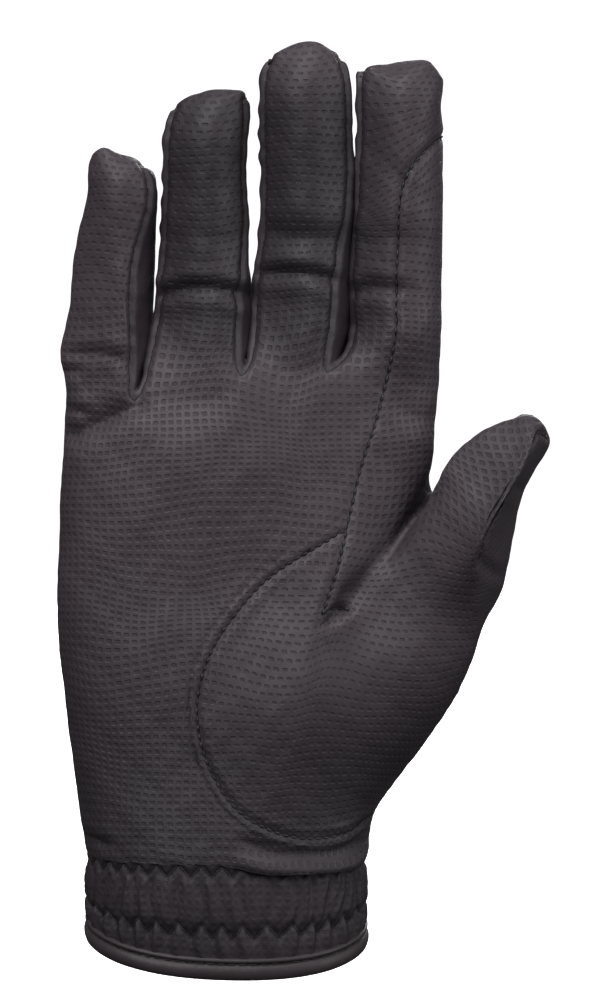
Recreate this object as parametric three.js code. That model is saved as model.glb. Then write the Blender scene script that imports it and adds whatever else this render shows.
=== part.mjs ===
// A right-hand riding glove of thin synthetic leather, filled as worn, with its palm to the front (-Y).
// Millimetres, +Z up along the fingers, the thumb on the +X side, the origin at the centre of the wrist opening.
// The hand form is one smooth subdivision surface through rings of points. It is divided along the
// seams into panels, and every panel is a leather wall of its own.
import * as THREE from 'three';

// Driving sizes in millimetres.
const PALM_WIDTH = 91;
const PALM_LENGTH = 117;
const PALM_DEPTH = 34;
const THUMB_LENGTH = 64;
const THUMB_WIDTH = 29;
const THUMB_DEPTH = 27;
const THUMB_LEAN_DEG = 30;
const THUMB_CURL = 3;
const CUFF_HEIGHT = 17.2;
const HEM_HEIGHT = 4;
const HEM_BOW = 4.5;
const HEM_PROUD = 0.5;
const GATHER_DEPTH = 0.8;
const GATHER_COUNT = 36;
const WALL = 1.2;
const SEAM_GAP = 0.3;

// Each finger's own sizes. lean is the tip's shift to +X and curl its shift to the palm side.
const FINGER_SIZES = {
  little: { length: 56.6, width: 21.1, depth: 19, lean: 2.4, curl: 5 },
  ring: { length: 68.4, width: 23.5, depth: 21, lean: 2.8, curl: 5 },
  middle: { length: 77.4, width: 23.6, depth: 22, lean: 1.7, curl: 5 },
  index: { length: 75.7, width: 22.1, depth: 21.5, lean: 1.8, curl: 4 },
};

// Rings of each finger from its base up. along is a share of the length, left and right are shares of the
// width from the axis, front and back are shares of the depth. seam is the place of the front right corner
// as a share of right, and rise is the slope of the ring, up to the right.
const RING_COLUMNS = ['along', 'left', 'right', 'front', 'back', 'seam', 'rise'];
const FINGER_RINGS = {
  little: [
    [0.13, 0.53, 0.473, 0.52, 0.52, 0.55, 0],
    [0.34, 0.465, 0.467, 0.53, 0.5, 0.5, 0],
    [0.55, 0.424, 0.465, 0.49, 0.48, 0.55, 0],
    [0.745, 0.354, 0.483, 0.48, 0.46, 0.78, 0],
    [0.883, 0.34, 0.473, 0.42, 0.42, 0.82, 0],
    [0.961, 0.345, 0.39, 0.25, 0.27, 0.82, 0],
  ],
  ring: [
    [0.13, 0.505, 0.503, 0.53, 0.52, 0.7, 0],
    [0.27, 0.471, 0.488, 0.48, 0.5, 0.72, 0],
    [0.459, 0.456, 0.44, 0.51, 0.49, 0.82, 0],
    [0.638, 0.457, 0.408, 0.47, 0.48, 0.85, 0],
    [0.817, 0.478, 0.397, 0.46, 0.44, 0.85, 0],
    [0.946, 0.39, 0.392, 0.28, 0.28, 0.82, 0.12],
  ],
  middle: [
    [0.12, 0.481, 0.505, 0.53, 0.52, 0.62, 0],
    [0.256, 0.468, 0.5, 0.48, 0.5, 0.64, 0],
    [0.45, 0.443, 0.491, 0.5, 0.49, 0.82, 0],
    [0.66, 0.475, 0.487, 0.49, 0.47, 0.85, 0],
    [0.84, 0.475, 0.467, 0.45, 0.44, 0.85, 0],
    [0.945, 0.41, 0.388, 0.28, 0.28, 0.82, 0],
  ],
  index: [
    [0.12, 0.466, 0.52, 0.53, 0.52, 0.8, 0],
    [0.243, 0.471, 0.515, 0.48, 0.5, 0.8, 0],
    [0.46, 0.477, 0.503, 0.51, 0.49, 0.8, 0],
    [0.68, 0.455, 0.49, 0.49, 0.47, 0.8, 0.62],
    [0.88, 0.469, 0.465, 0.44, 0.43, 0.8, 0],
    [0.964, 0.43, 0.414, 0.27, 0.27, 0.8, 0],
  ],
};
const THUMB_RINGS = [
  [0.49, 0.42, 0.445, 0.47, 0.45, 0.44, -0.42],
  [0.687, 0.41, 0.27, 0.42, 0.4, 0.52, -0.15],
  [0.859, 0.319, 0.24, 0.34, 0.32, 0.53, 0],
  [0.955, 0.16, 0.208, 0.19, 0.19, 0.5, 0],
];

// Rows of the hand from the wrist seam to the finger bases. The rises are shares of the palm length at the left
// and the right edge, and crest adds to them at the thumb web. left and right are shares of the palm width from
// the middle line; the others are shares of the palm depth: front, back, forward bringing the thumb side to the
// front, and valley setting the crease beside the ball of the thumb back.
const ROW_COLUMNS = [
  'riseLeft', 'riseRight', 'crest', 'left', 'right', 'front', 'back', 'forward', 'valley',
];
const BODY_ROWS = [
  [0, 0, 0, 0.374, 0.377, 0.68, 0.7, 0, 0],
  [0.08, 0.08, 0.03, 0.393, 0.401, 0.64, 0.62, 0.03, 0],
  [0.195, 0.149, 0.07, 0.412, 0.452, 0.58, 0.52, 0.1, 0],
  [0.32, 0.258, 0.1, 0.433, 0.552, 0.54, 0.46, 0.22, 0.02],
  [0.488, 0.375, 0.1165, 0.452, 0.641, 0.52, 0.43, 0.32, 0.1],
  [0.614, 0.484, 0.116, 0.45, 0.689, 0.5, 0.42, 0.38, 0.14],
  [0.739, 0.802, 0, 0.444, 0.552, 0.47, 0.4, 0, 0],
  [0.865, 0.886, 0, 0.433, 0.563, 0.43, 0.37, 0, 0],
  [0.974, 0.98, 0, 0.428, 0.573, 0.37, 0.34, 0, 0],
].map((row) => named(row, ROW_COLUMNS));
const BALL_ROW = 4;
const WEB_ROW = 5;
const CROTCH_ROW = 8;
const CREST_REACH = 0.5;

// Columns of the hand from its left to its right edge, as shares of the row's breadth at the wrist seam, over
// the ball of the thumb, at the thumb web, above the web and at the finger bases. The last two belong to the
// thumb.
const COLUMN_SHARES = [
  { wrist: 0.05, ball: 0.03, web: 0.03, above: 0.03, crotch: 0.03 },
  { wrist: 0.13, ball: 0.1, web: 0.1, above: 0.1, crotch: 0.105 },
  { wrist: 0.21, ball: 0.18, web: 0.17, above: 0.19, crotch: 0.188 },
  { wrist: 0.3, ball: 0.28, web: 0.26, above: 0.315, crotch: 0.34 },
  { wrist: 0.39, ball: 0.38, web: 0.35, above: 0.445, crotch: 0.476 },
  { wrist: 0.48, ball: 0.47, web: 0.44, above: 0.555, crotch: 0.6 },
  { wrist: 0.57, ball: 0.56, web: 0.54, above: 0.66, crotch: 0.704 },
  { wrist: 0.66, ball: 0.653, web: 0.662, above: 0.803, crotch: 0.855 },
  { wrist: 0.75, ball: 0.717, web: 0.78, above: 0.965, crotch: 0.965 },
  { wrist: 0.85, ball: 0.862, web: 0.889 },
  { wrist: 0.95, ball: 0.965, web: 0.974 },
];
const WEB_COLUMN = 8;
const INDEX_SEAM_COLUMN = 7;

// Crotches between the fingers, as shares of the palm width and length.
const CROTCHES = [
  { column: 2, front: [-0.24, 0.961], middle: [-0.197, 0.997] },
  { column: 4, front: [0.048, 1.009], middle: [0.073, 1.032] },
  { column: 6, front: [0.277, 1.0156], middle: [0.331, 1.0386] },
];

// The thumb web's middle and back points and the foot of the thumb's axis, as shares of the palm width, length
// and depth.
const THUMB_WEB = { middle: [0.536, 0.722, -0.14], back: [0.555, 0.7, 0.22] };
const THUMB_ROOT = [0.482, 0.446, -0.36];

// Mounds and hollows of the palm: place as shares of the palm width and length, reach as a share of the palm
// width and height as a share of the palm depth.
const PALM_RELIEF = [
  { name: 'ball of the thumb', across: 0.24, up: 0.32, reach: 0.34, height: 0.16 },
  { name: 'hollow of the hand', across: 0.02, up: 0.6, reach: 0.3, height: -0.09 },
  { name: 'outer edge of the hand', across: -0.3, up: 0.36, reach: 0.26, height: 0.05 },
  { name: 'pad under the fingers', across: -0.05, up: 0.9, reach: 0.22, height: 0.03 },
];

// The seam round the ball of the thumb, as shares of the palm width and length, from the index seam down
// and back to the right edge of the hand.
const THENAR_SEAM = [
  [0.326, 0.693], [0.24, 0.653], [0.118, 0.59], [0.04, 0.526], [-0.03, 0.446], [-0.07, 0.346], [-0.064, 0.256],
  [-0.02, 0.17], [0.048, 0.105], [0.167, 0.063], [0.32, 0.06], [0.398, 0.084], [0.6, 0.1],
];

// Rows of the gathered cuff from the wrist seam down. down is a share of the cuff height, out a share of the
// palm depth that the row stands off the wrist outline, gather the share of the gather depth it shows.
const CUFF_ROWS = [
  { down: 0, out: 0, gather: 0.2 },
  { down: 0.16, out: -0.025, gather: 0.5 },
  { down: 0.42, out: 0.012, gather: 1 },
  { down: 0.72, out: -0.006, gather: 0.6 },
  { down: 1, out: 0.004, gather: 0.4 },
];
const HEM_ROWS = [
  { down: 0, out: 0.15 },
  { down: 0.12, out: 0.8 },
  { down: 0.3, out: 0.35 },
  { down: 0.45, out: 1 },
  { down: 0.85, out: 1 },
  { down: 1, out: 0.3 },
];

const SECTION_POWER = 2.35;
const LEFT_CORNER = 0.85;
const BACK_CORNER = 0.8;
const FIT_ROUNDS = 14;
const SNAP_SHARE = 0.25;
const WRIST_Z = CUFF_HEIGHT + HEM_HEIGHT;
const STEPS_PER_GATHER = 3;

const LEATHER = { color: 0x1f1d20, roughness: 0.62, metalness: 0 };
const SMOOTH_LEATHER = { color: 0x1a181b, roughness: 0.5, metalness: 0 };
const GATHERED_LEATHER = { color: 0x1b191c, roughness: 0.7, metalness: 0 };

function named(values, columns) {
  return Object.fromEntries(columns.map((column, i) => [column, values[i]]));
}

function mix(a, b, t) {
  return a + (b - a) * t;
}

// Half depth of a rounded section at a distance across of -1 to 1.
function roundness(across) {
  return Math.max(0, 1 - Math.abs(across) ** SECTION_POWER) ** (1 / SECTION_POWER);
}

// The cage: points that the surface passes through, and four-sided faces with the panel each belongs to.
const targets = [];
const faces = [];

function addPoint(x, y, z) {
  targets.push([x, y, z]);
  return targets.length - 1;
}

function addFace(corners, panel) {
  faces.push({ corners, panel });
}

function palmRelief(x, z) {
  return PALM_RELIEF.reduce((sum, bump) => {
    const dx = x / PALM_WIDTH - bump.across;
    const dz = ((z - WRIST_Z) / PALM_LENGTH - bump.up) * (PALM_LENGTH / PALM_WIDTH);
    return sum + bump.height * PALM_DEPTH * Math.exp(-(dx * dx + dz * dz) / (bump.reach * bump.reach / 2));
  }, 0);
}

function columnShare(column, row) {
  const shares = COLUMN_SHARES[column];
  if (row <= BALL_ROW) {
    return mix(shares.wrist, shares.ball, row / BALL_ROW);
  }
  if (row === WEB_ROW) {
    return shares.web;
  }
  return mix(shares.above, shares.crotch, (row - WEB_ROW - 1) / (CROTCH_ROW - WEB_ROW - 1));
}

// How much of the row's crest a place has: all of it at the thumb web's column, none at the right edge.
function crestShare(row, share) {
  const web = columnShare(WEB_COLUMN, row);
  return share > web ? (1 - share) / (1 - web) : Math.max(0, 1 - (web - share) / CREST_REACH);
}

// Distance to the front or back of a place on the hand. face is -1 on the palm, 1 on the back, 0 at the edge.
function bodyDepth(row, share, face, x, z) {
  const size = BODY_ROWS[row];
  const across = 2 * share - 1;
  const forward = -size.forward * PALM_DEPTH * Math.max(0, across) ** 2;
  const relief = row > 0 && row < CROTCH_ROW ? palmRelief(x, z) : 0;
  if (face < 0) {
    return forward - (size.front * PALM_DEPTH + relief) * roundness(across);
  }
  return forward + face * size.back * PALM_DEPTH * roundness(across);
}

function bodyPlace(row, share, face) {
  const size = BODY_ROWS[row];
  const x = mix(-size.left, size.right, share) * PALM_WIDTH;
  const rise = mix(size.riseLeft, size.riseRight, share) + size.crest * crestShare(row, share);
  const z = WRIST_Z + rise * PALM_LENGTH;
  return [x, bodyDepth(row, share, face, x, z), z];
}

// A place given as shares of the palm width, length and depth.
function placeOf([across, up, depth = 0]) {
  return { x: across * PALM_WIDTH, y: depth * PALM_DEPTH, z: WRIST_Z + up * PALM_LENGTH };
}

function shareAt(row, x) {
  const size = BODY_ROWS[row];
  return (x / PALM_WIDTH + size.left) / (size.left + size.right);
}

function buildBodyRow(row) {
  const count = row <= WEB_ROW ? COLUMN_SHARES.length : WEB_COLUMN + 1;
  const front = [];
  const back = [];
  for (let column = 0; column < count; column += 1) {
    const share = columnShare(column, row);
    const palm = bodyPlace(row, share, -1);
    const rear = bodyPlace(row, share, 1);
    const crotch = row === CROTCH_ROW && CROTCHES.find((entry) => entry.column === column);
    if (crotch) {
      const { x, z } = placeOf(crotch.front);
      const behind = placeOf(crotch.middle).x;
      palm.splice(0, 3, x, bodyDepth(row, shareAt(row, x), -1, x, z), z);
      rear.splice(0, 3, behind, bodyDepth(row, shareAt(row, behind), 1, behind, z), z);
    }
    if (column === WEB_COLUMN) {
      palm[1] += BODY_ROWS[row].valley * PALM_DEPTH;
    }
    if (column === WEB_COLUMN && row === WEB_ROW) {
      const { x, y, z } = placeOf(THUMB_WEB.back);
      rear.splice(0, 3, x, y, z);
    }
    front.push(addPoint(...palm));
    back.push(addPoint(...rear));
  }
  const left = addPoint(...bodyPlace(row, 0, 0));
  const right = addPoint(...bodyPlace(row, 1, 0));
  return { front, back, left, right };
}

// Faces between two rings of points with as many points each.
function joinRings(lower, upper, panelAt) {
  const count = lower.length;
  for (let i = 0; i < count; i += 1) {
    const next = (i + 1) % count;
    addFace([lower[i], lower[next], upper[next], upper[i]], panelAt(i));
  }
}

function wholeRing(row, columns, right) {
  const front = row.front.slice(0, columns);
  const back = row.back.slice(0, columns).reverse();
  return [...front, right, ...back, row.left];
}

// The panel of a face of the hand by its place in the ring: palm, right side, back, left side.
function bodyPanel(row, i, columns) {
  const lastFront = columns - 1;
  const firstLeft = 2 * columns;
  if (row === BALL_ROW && i === INDEX_SEAM_COLUMN) {
    return 'index_side_panel';
  }
  if (row >= WEB_ROW && i >= INDEX_SEAM_COLUMN && i <= lastFront + 1) {
    return 'index_side_panel';
  }
  return i <= lastFront || i >= firstLeft ? 'front' : 'back_panel';
}

// A finger or the thumb: rings of eight points from its base ring to a rounded tip.
function buildDigit(base, size, rings, axis, panelAt) {
  const ringPoints = rings.map((values) => {
    const ring = named(values, RING_COLUMNS);
    const centre = axis.at(ring.along);
    const left = -ring.left * size.width;
    const right = ring.right * size.width;
    const front = -ring.front * size.depth;
    const back = ring.back * size.depth;
    const place = (across, depth) => {
      const lift = across * ring.rise;
      return addPoint(
        centre[0] + across * axis.across[0] + lift * axis.up[0],
        centre[1] + depth,
        centre[2] + across * axis.across[2] + lift * axis.up[2],
      );
    };
    return [
      place(left * LEFT_CORNER, front * roundness(LEFT_CORNER)),
      place(0, front),
      place(right * ring.seam, front * roundness(ring.seam)),
      place(right, 0),
      place(right * BACK_CORNER, back * roundness(BACK_CORNER)),
      place(0, back),
      place(left * BACK_CORNER, back * roundness(BACK_CORNER)),
      place(left, 0),
    ];
  });
  const stack = [base, ...ringPoints];
  for (let i = 0; i + 1 < stack.length; i += 1) {
    joinRings(stack[i], stack[i + 1], (j) => panelAt(i, j));
  }
  const last = stack[stack.length - 1];
  const tip = addPoint(...axis.at(1));
  const capPanels = [panelAt(rings.length, 1), panelAt(rings.length, 4), panelAt(rings.length, 4),
    panelAt(rings.length, 0)];
  [1, 3, 5, 7].forEach((j, quarter) => {
    addFace([last[j], last[(j + 1) % 8], last[(j + 2) % 8], tip], capPanels[quarter]);
  });
}

function digitAxis(start, length, leanAcross, curl, turn) {
  const up = [Math.sin(turn), 0, Math.cos(turn)];
  const across = [Math.cos(turn), 0, -Math.sin(turn)];
  const at = (share) => [
    start[0] + share * (length * up[0] + leanAcross * across[0]),
    start[1] - share * share * curl,
    start[2] + share * (length * up[2] + leanAcross * across[2]),
  ];
  return { up, across, at };
}

function midpoint(a, b) {
  return targets[a].map((value, i) => mix(value, targets[b][i], 0.5));
}

const FINGER_PLANS = [
  { name: 'little', left: null, right: 'fourchette_ring_little' },
  { name: 'ring', left: 'fourchette_ring_little', right: 'fourchette_middle_ring' },
  { name: 'middle', left: 'fourchette_middle_ring', right: 'fourchette_index_middle' },
  { name: 'index', left: 'fourchette_index_middle', right: null },
];
const INDEX_PANEL_RINGS = 4;

function fingerPanel(plan, i, j) {
  const onIndexSide = plan.name === 'index' && i < INDEX_PANEL_RINGS;
  if (j === 0 || j === 1) {
    return onIndexSide && j === 1 ? 'index_side_panel' : 'palm_panel';
  }
  if (j === 2 || j === 3) {
    return plan.right ?? (onIndexSide ? 'index_side_panel' : 'palm_panel');
  }
  if (j === 4 || j === 5) {
    return 'back_panel';
  }
  return plan.left ?? 'palm_panel';
}

function thumbPanel(i, j) {
  return j === 0 || j === 1 || j === 7 ? 'thumb_front_panel' : 'thumb_back_panel';
}

function buildCage() {
  const rows = BODY_ROWS.map((_, row) => buildBodyRow(row));
  const web = placeOf(THUMB_WEB.middle);
  const webMiddle = addPoint(web.x, web.y, web.z);
  for (let row = 0; row < CROTCH_ROW; row += 1) {
    const below = row < WEB_ROW;
    const columns = below ? COLUMN_SHARES.length : WEB_COLUMN + 1;
    const lowerRight = row === WEB_ROW ? webMiddle : rows[row].right;
    const lower = wholeRing(rows[row], columns, lowerRight);
    const upper = wholeRing(rows[row + 1], columns, rows[row + 1].right);
    joinRings(lower, upper, (i) => bodyPanel(row, i, columns));
  }
  const top = rows[CROTCH_ROW];
  const middles = CROTCHES.map((crotch) => {
    const { x, z } = placeOf(crotch.middle);
    return addPoint(x, 0, z);
  });
  FINGER_PLANS.forEach((plan, finger) => {
    const first = 2 * finger;
    const leftMiddle = finger === 0 ? top.left : middles[finger - 1];
    const rightMiddle = finger === FINGER_PLANS.length - 1 ? top.right : middles[finger];
    const base = [
      ...top.front.slice(first, first + 3), rightMiddle,
      ...top.back.slice(first, first + 3).reverse(), leftMiddle,
    ];
    const size = FINGER_SIZES[plan.name];
    const axis = digitAxis(midpoint(leftMiddle, rightMiddle), size.length, size.lean, size.curl, 0);
    buildDigit(base, size, FINGER_RINGS[plan.name], axis, (i, j) => fingerPanel(plan, i, j));
  });
  const root = rows[WEB_ROW];
  const thumbBase = [
    ...root.front.slice(WEB_COLUMN), root.right,
    ...root.back.slice(WEB_COLUMN).reverse(), webMiddle,
  ];
  const start = placeOf(THUMB_ROOT);
  const turn = THREE.MathUtils.degToRad(THUMB_LEAN_DEG);
  const thumbSize = { width: THUMB_WIDTH, depth: THUMB_DEPTH };
  const axis = digitAxis([start.x, start.y, start.z], THUMB_LENGTH, 0, THUMB_CURL, turn);
  buildDigit(thumbBase, thumbSize, THUMB_RINGS, axis, thumbPanel);
}

// Subdivision of a mesh of four-sided faces (Catmull-Clark), with open edges kept.
function connect(count, quads) {
  const edges = new Map();
  const around = Array.from({ length: count }, () => ({ near: [], far: [], faces: [], rim: [] }));
  quads.forEach(({ corners }, face) => {
    corners.forEach((a, i) => {
      const b = corners[(i + 1) % 4];
      const key = a < b ? a * count + b : b * count + a;
      if (!edges.has(key)) {
        edges.set(key, { a, b, faces: [] });
      }
      edges.get(key).faces.push(face);
      around[a].far.push(corners[(i + 2) % 4]);
      around[a].faces.push(face);
    });
  });
  for (const edge of edges.values()) {
    around[edge.a].near.push(edge.b);
    around[edge.b].near.push(edge.a);
    if (edge.faces.length === 1) {
      around[edge.a].rim.push(edge.b);
      around[edge.b].rim.push(edge.a);
    }
  }
  return { edges, around };
}

function weightedSum(points, terms) {
  const sum = [0, 0, 0];
  for (const [index, weight] of terms) {
    for (let k = 0; k < 3; k += 1) {
      sum[k] += points[index][k] * weight;
    }
  }
  return sum;
}

// Where the smooth surface passes for each point of the mesh.
function limitPoints(points, around) {
  return points.map((_, i) => {
    const { near, far, rim } = around[i];
    if (rim.length === 2) {
      return weightedSum(points, [[i, 4 / 6], [rim[0], 1 / 6], [rim[1], 1 / 6]]);
    }
    const n = near.length;
    const total = n * (n + 5);
    return weightedSum(points, [
      [i, (n * n) / total],
      ...near.map((j) => [j, 4 / total]),
      ...far.map((j) => [j, 1 / total]),
    ]);
  });
}

// Moves the points of the cage until the smooth surface passes through the wanted places.
function fitCage(wanted, around) {
  let points = wanted.map((place) => [...place]);
  for (let round = 0; round < FIT_ROUNDS; round += 1) {
    const limits = limitPoints(points, around);
    points = points.map((point, i) => point.map((value, k) => value + wanted[i][k] - limits[i][k]));
  }
  return points;
}

function subdivide(points, quads, { edges, around }) {
  const next = points.map((point, i) => {
    const { near, rim, faces: own } = around[i];
    if (rim.length === 2) {
      return weightedSum(points, [[i, 6 / 8], [rim[0], 1 / 8], [rim[1], 1 / 8]]);
    }
    const n = near.length;
    const facePart = own.flatMap((face) => quads[face].corners.map((j) => [j, 1 / (4 * n * n)]));
    const edgePart = near.flatMap((j) => [[j, 1 / (n * n)], [i, 1 / (n * n)]]);
    return weightedSum(points, [...facePart, ...edgePart, [i, (n - 3) / n]]);
  });
  const faceIndex = quads.map(({ corners }) => {
    next.push(weightedSum(points, corners.map((j) => [j, 1 / 4])));
    return next.length - 1;
  });
  const edgeIndex = new Map();
  for (const [key, edge] of edges) {
    const ends = [[edge.a, 1 / 2], [edge.b, 1 / 2]];
    if (edge.faces.length === 2) {
      const middle = weightedSum(points, ends);
      const sides = edge.faces.map((face) => next[faceIndex[face]]);
      next.push(middle.map((value, k) => value / 2 + (sides[0][k] + sides[1][k]) / 4));
    } else {
      next.push(weightedSum(points, ends));
    }
    edgeIndex.set(key, next.length - 1);
  }
  const count = points.length;
  const edgeOf = (a, b) => edgeIndex.get(a < b ? a * count + b : b * count + a);
  const nextQuads = quads.flatMap(({ corners, panel }, face) => corners.map((a, i) => {
    const b = corners[(i + 1) % 4];
    const d = corners[(i + 3) % 4];
    return { corners: [a, edgeOf(a, b), faceIndex[face], edgeOf(d, a)], panel };
  }));
  return { points: next, quads: nextQuads };
}

function pointNormals(points, quads) {
  const normals = points.map(() => new THREE.Vector3());
  for (const { corners } of quads) {
    const [a, b, c, d] = corners.map((i) => new THREE.Vector3(...points[i]));
    const normal = new THREE.Vector3().crossVectors(c.sub(a), d.sub(b));
    corners.forEach((i) => normals[i].add(normal));
  }
  return normals.map((normal) => normal.normalize());
}

// Signed distance in the front view to the seam round the ball of the thumb, positive inside.
function thenarOutline() {
  const seam = THENAR_SEAM.map((share) => placeOf(share));
  const curve = new THREE.CatmullRomCurve3(seam.map(({ x, z }) => new THREE.Vector3(x, 0, z)));
  const line = curve.getPoints(THENAR_SEAM.length * 4).map(({ x, z }) => [x, z]);
  return [...line, [PALM_WIDTH, line[line.length - 1][1]], [PALM_WIDTH, line[0][1]]];
}

function signedDistance(outline, x, z) {
  let best = Infinity;
  let inside = false;
  outline.forEach(([ax, az], i) => {
    const [bx, bz] = outline[(i + 1) % outline.length];
    const t = THREE.MathUtils.clamp(
      ((x - ax) * (bx - ax) + (z - az) * (bz - az)) / ((bx - ax) ** 2 + (bz - az) ** 2), 0, 1);
    best = Math.min(best, Math.hypot(x - mix(ax, bx, t), z - mix(az, bz, t)));
    if (az > z !== bz > z && x < mix(ax, bx, (z - az) / (bz - az))) {
      inside = !inside;
    }
  });
  return inside ? best : -best;
}

// Divides the front of the hand along the thumb seam: near points slide onto it, and other edges are cut.
function cutAlongSeam(points, normals, triangles) {
  const outline = thenarOutline();
  const field = points.map(([x, , z]) => signedDistance(outline, x, z));
  const slid = new Set();
  const crossing = (a, b) => field[a] * field[b] < 0;
  const blend = (a, b, t) => {
    const place = points[a].map((value, k) => mix(value, points[b][k], t));
    const normal = normals[a].clone().lerp(normals[b], t).normalize();
    return { place, normal };
  };
  for (const { corners } of triangles) {
    corners.forEach((a, i) => {
      for (const b of [corners[(i + 1) % 3], corners[(i + 2) % 3]]) {
        const t = crossing(a, b) ? field[a] / (field[a] - field[b]) : 1;
        if (t < SNAP_SHARE && !slid.has(a)) {
          const { place, normal } = blend(a, b, t);
          points[a] = place;
          normals[a] = normal;
          field[a] = 0;
          slid.add(a);
        }
      }
    });
  }
  const cuts = new Map();
  const cutPoint = (a, b) => {
    const key = a < b ? `${a},${b}` : `${b},${a}`;
    if (!cuts.has(key)) {
      const { place, normal } = blend(a, b, field[a] / (field[a] - field[b]));
      points.push(place);
      normals.push(normal);
      field.push(0);
      cuts.set(key, points.length - 1);
    }
    return cuts.get(key);
  };
  const side = (corners) => (Math.max(...corners.map((i) => field[i])) > -Math.min(...corners.map((i) => field[i]))
    ? 'thumb_front_panel' : 'palm_panel');
  return triangles.flatMap(({ corners }) => {
    const ring = corners.flatMap((a, i) => {
      const b = corners[(i + 1) % 3];
      return crossing(a, b) ? [a, cutPoint(a, b)] : [a];
    });
    if (ring.length === 3) {
      return [{ corners: ring, panel: side(ring) }];
    }
    const onSeam = ring.map((i, place) => (field[i] === 0 ? place : -1)).filter((place) => place >= 0);
    const [from, to] = onSeam;
    const parts = [ring.slice(from, to + 1), [...ring.slice(to), ...ring.slice(0, from + 1)]];
    return parts.flatMap((part) => fan(part).map((triangle) => ({ corners: triangle, panel: side(part) })));
  });
}

function fan(ring) {
  return ring.slice(2).map((_, i) => [ring[0], ring[i + 1], ring[i + 2]]);
}

// A leather panel: its outer and inner faces, and walls round its edges, which stand half a seam gap back.
function panelGeometry(points, normals, triangles) {
  const numbers = new Map();
  for (const index of triangles.flat()) {
    if (!numbers.has(index)) {
      numbers.set(index, numbers.size);
    }
  }
  const outer = [...numbers.keys()].map((i) => new THREE.Vector3(...points[i]));
  const inward = [...numbers.keys()].map((i) => normals[i]);
  const local = triangles.map((triangle) => triangle.map((i) => numbers.get(i)));
  const once = new Map();
  for (const [a, b, c] of local) {
    for (const [from, to, other] of [[a, b, c], [b, c, a], [c, a, b]]) {
      const back = `${to},${from}`;
      if (once.has(back)) {
        once.delete(back);
      } else {
        once.set(`${from},${to}`, { from, to, other });
      }
    }
  }
  const rim = [...once.values()];
  const shifts = new Map();
  for (const { from, to, other } of rim) {
    const along = outer[to].clone().sub(outer[from]).normalize();
    const away = outer[other].clone().sub(outer[from]);
    away.addScaledVector(along, -away.dot(along)).normalize();
    for (const end of [from, to]) {
      shifts.set(end, [...(shifts.get(end) ?? []), away]);
    }
  }
  for (const [index, ways] of shifts) {
    const way = ways.reduce((sum, item) => sum.add(item), new THREE.Vector3()).normalize();
    const reach = Math.max(0.5, way.dot(ways[0]));
    outer[index].addScaledVector(way, SEAM_GAP / 2 / reach);
  }
  const inner = outer.map((place, i) => place.clone().addScaledVector(inward[i], -WALL));
  const half = outer.length;
  const indices = [];
  for (const [a, b, c] of local) {
    indices.push(a, b, c, half + a, half + c, half + b);
  }
  const keys = [...numbers.keys()];
  for (const { from, to } of rim) {
    if (keys[from] < keys[to]) {
      indices.push(to, from, half + from, to, half + from, half + to);
    } else {
      indices.push(to, from, half + to, from, half + from, half + to);
    }
  }
  const geometry = new THREE.BufferGeometry();
  const flat = [...outer, ...inner].flatMap((place) => [place.x, place.y, place.z]);
  geometry.setAttribute('position', new THREE.Float32BufferAttribute(flat, 3));
  geometry.setIndex(indices);
  geometry.computeVertexNormals();
  return geometry;
}

// A closed band round the wrist: rows of points down its outside, then up its inside.
function bandGeometry(rows, steps) {
  const positions = rows.flatMap((placeAt) => Array.from({ length: steps }, (_, i) => {
    const turn = (2 * Math.PI * i) / steps;
    return placeAt(turn);
  }));
  const indices = [];
  rows.forEach((_, row) => {
    const below = ((row + 1) % rows.length) * steps;
    for (let i = 0; i < steps; i += 1) {
      const next = (i + 1) % steps;
      indices.push(row * steps + i, below + i, row * steps + next);
      indices.push(row * steps + next, below + i, below + next);
    }
  });
  const geometry = new THREE.BufferGeometry();
  geometry.setAttribute('position', new THREE.Float32BufferAttribute(positions.flat(), 3));
  geometry.setIndex(indices);
  geometry.computeVertexNormals();
  return geometry;
}

// A point of the wrist outline moved out by some millimetres. The front dips with the bow of the hem.
function wristPlace(turn, out, z, bowShare) {
  const wrist = BODY_ROWS[0];
  const power = 2 / SECTION_POWER;
  const across = Math.sign(Math.cos(turn)) * Math.abs(Math.cos(turn)) ** power;
  const depth = Math.sign(Math.sin(turn)) * Math.abs(Math.sin(turn)) ** power;
  const halfWidth = ((wrist.left + wrist.right) / 2) * PALM_WIDTH + out;
  const halfDepth = (depth < 0 ? wrist.front : wrist.back) * PALM_DEPTH + out;
  const middle = ((wrist.right - wrist.left) / 2) * PALM_WIDTH;
  const dip = bowShare * HEM_BOW * Math.max(0, -depth) ** 2;
  return [middle + across * halfWidth, depth * halfDepth, z - dip];
}

function cuffGeometry() {
  const top = WRIST_Z - SEAM_GAP;
  const height = CUFF_HEIGHT - 2 * SEAM_GAP;
  const rowAt = (row, inset) => (turn) => {
    const wave = 0.5 - 0.5 * Math.cos(GATHER_COUNT * turn);
    const out = row.out * PALM_DEPTH - row.gather * GATHER_DEPTH * wave - inset;
    return wristPlace(turn, out, top - row.down * height, row.down);
  };
  const outside = CUFF_ROWS.map((row) => rowAt(row, 0));
  const inside = [4, 2, 0].map((row) => rowAt(CUFF_ROWS[row], WALL));
  return bandGeometry([...outside, ...inside], GATHER_COUNT * STEPS_PER_GATHER);
}

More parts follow.
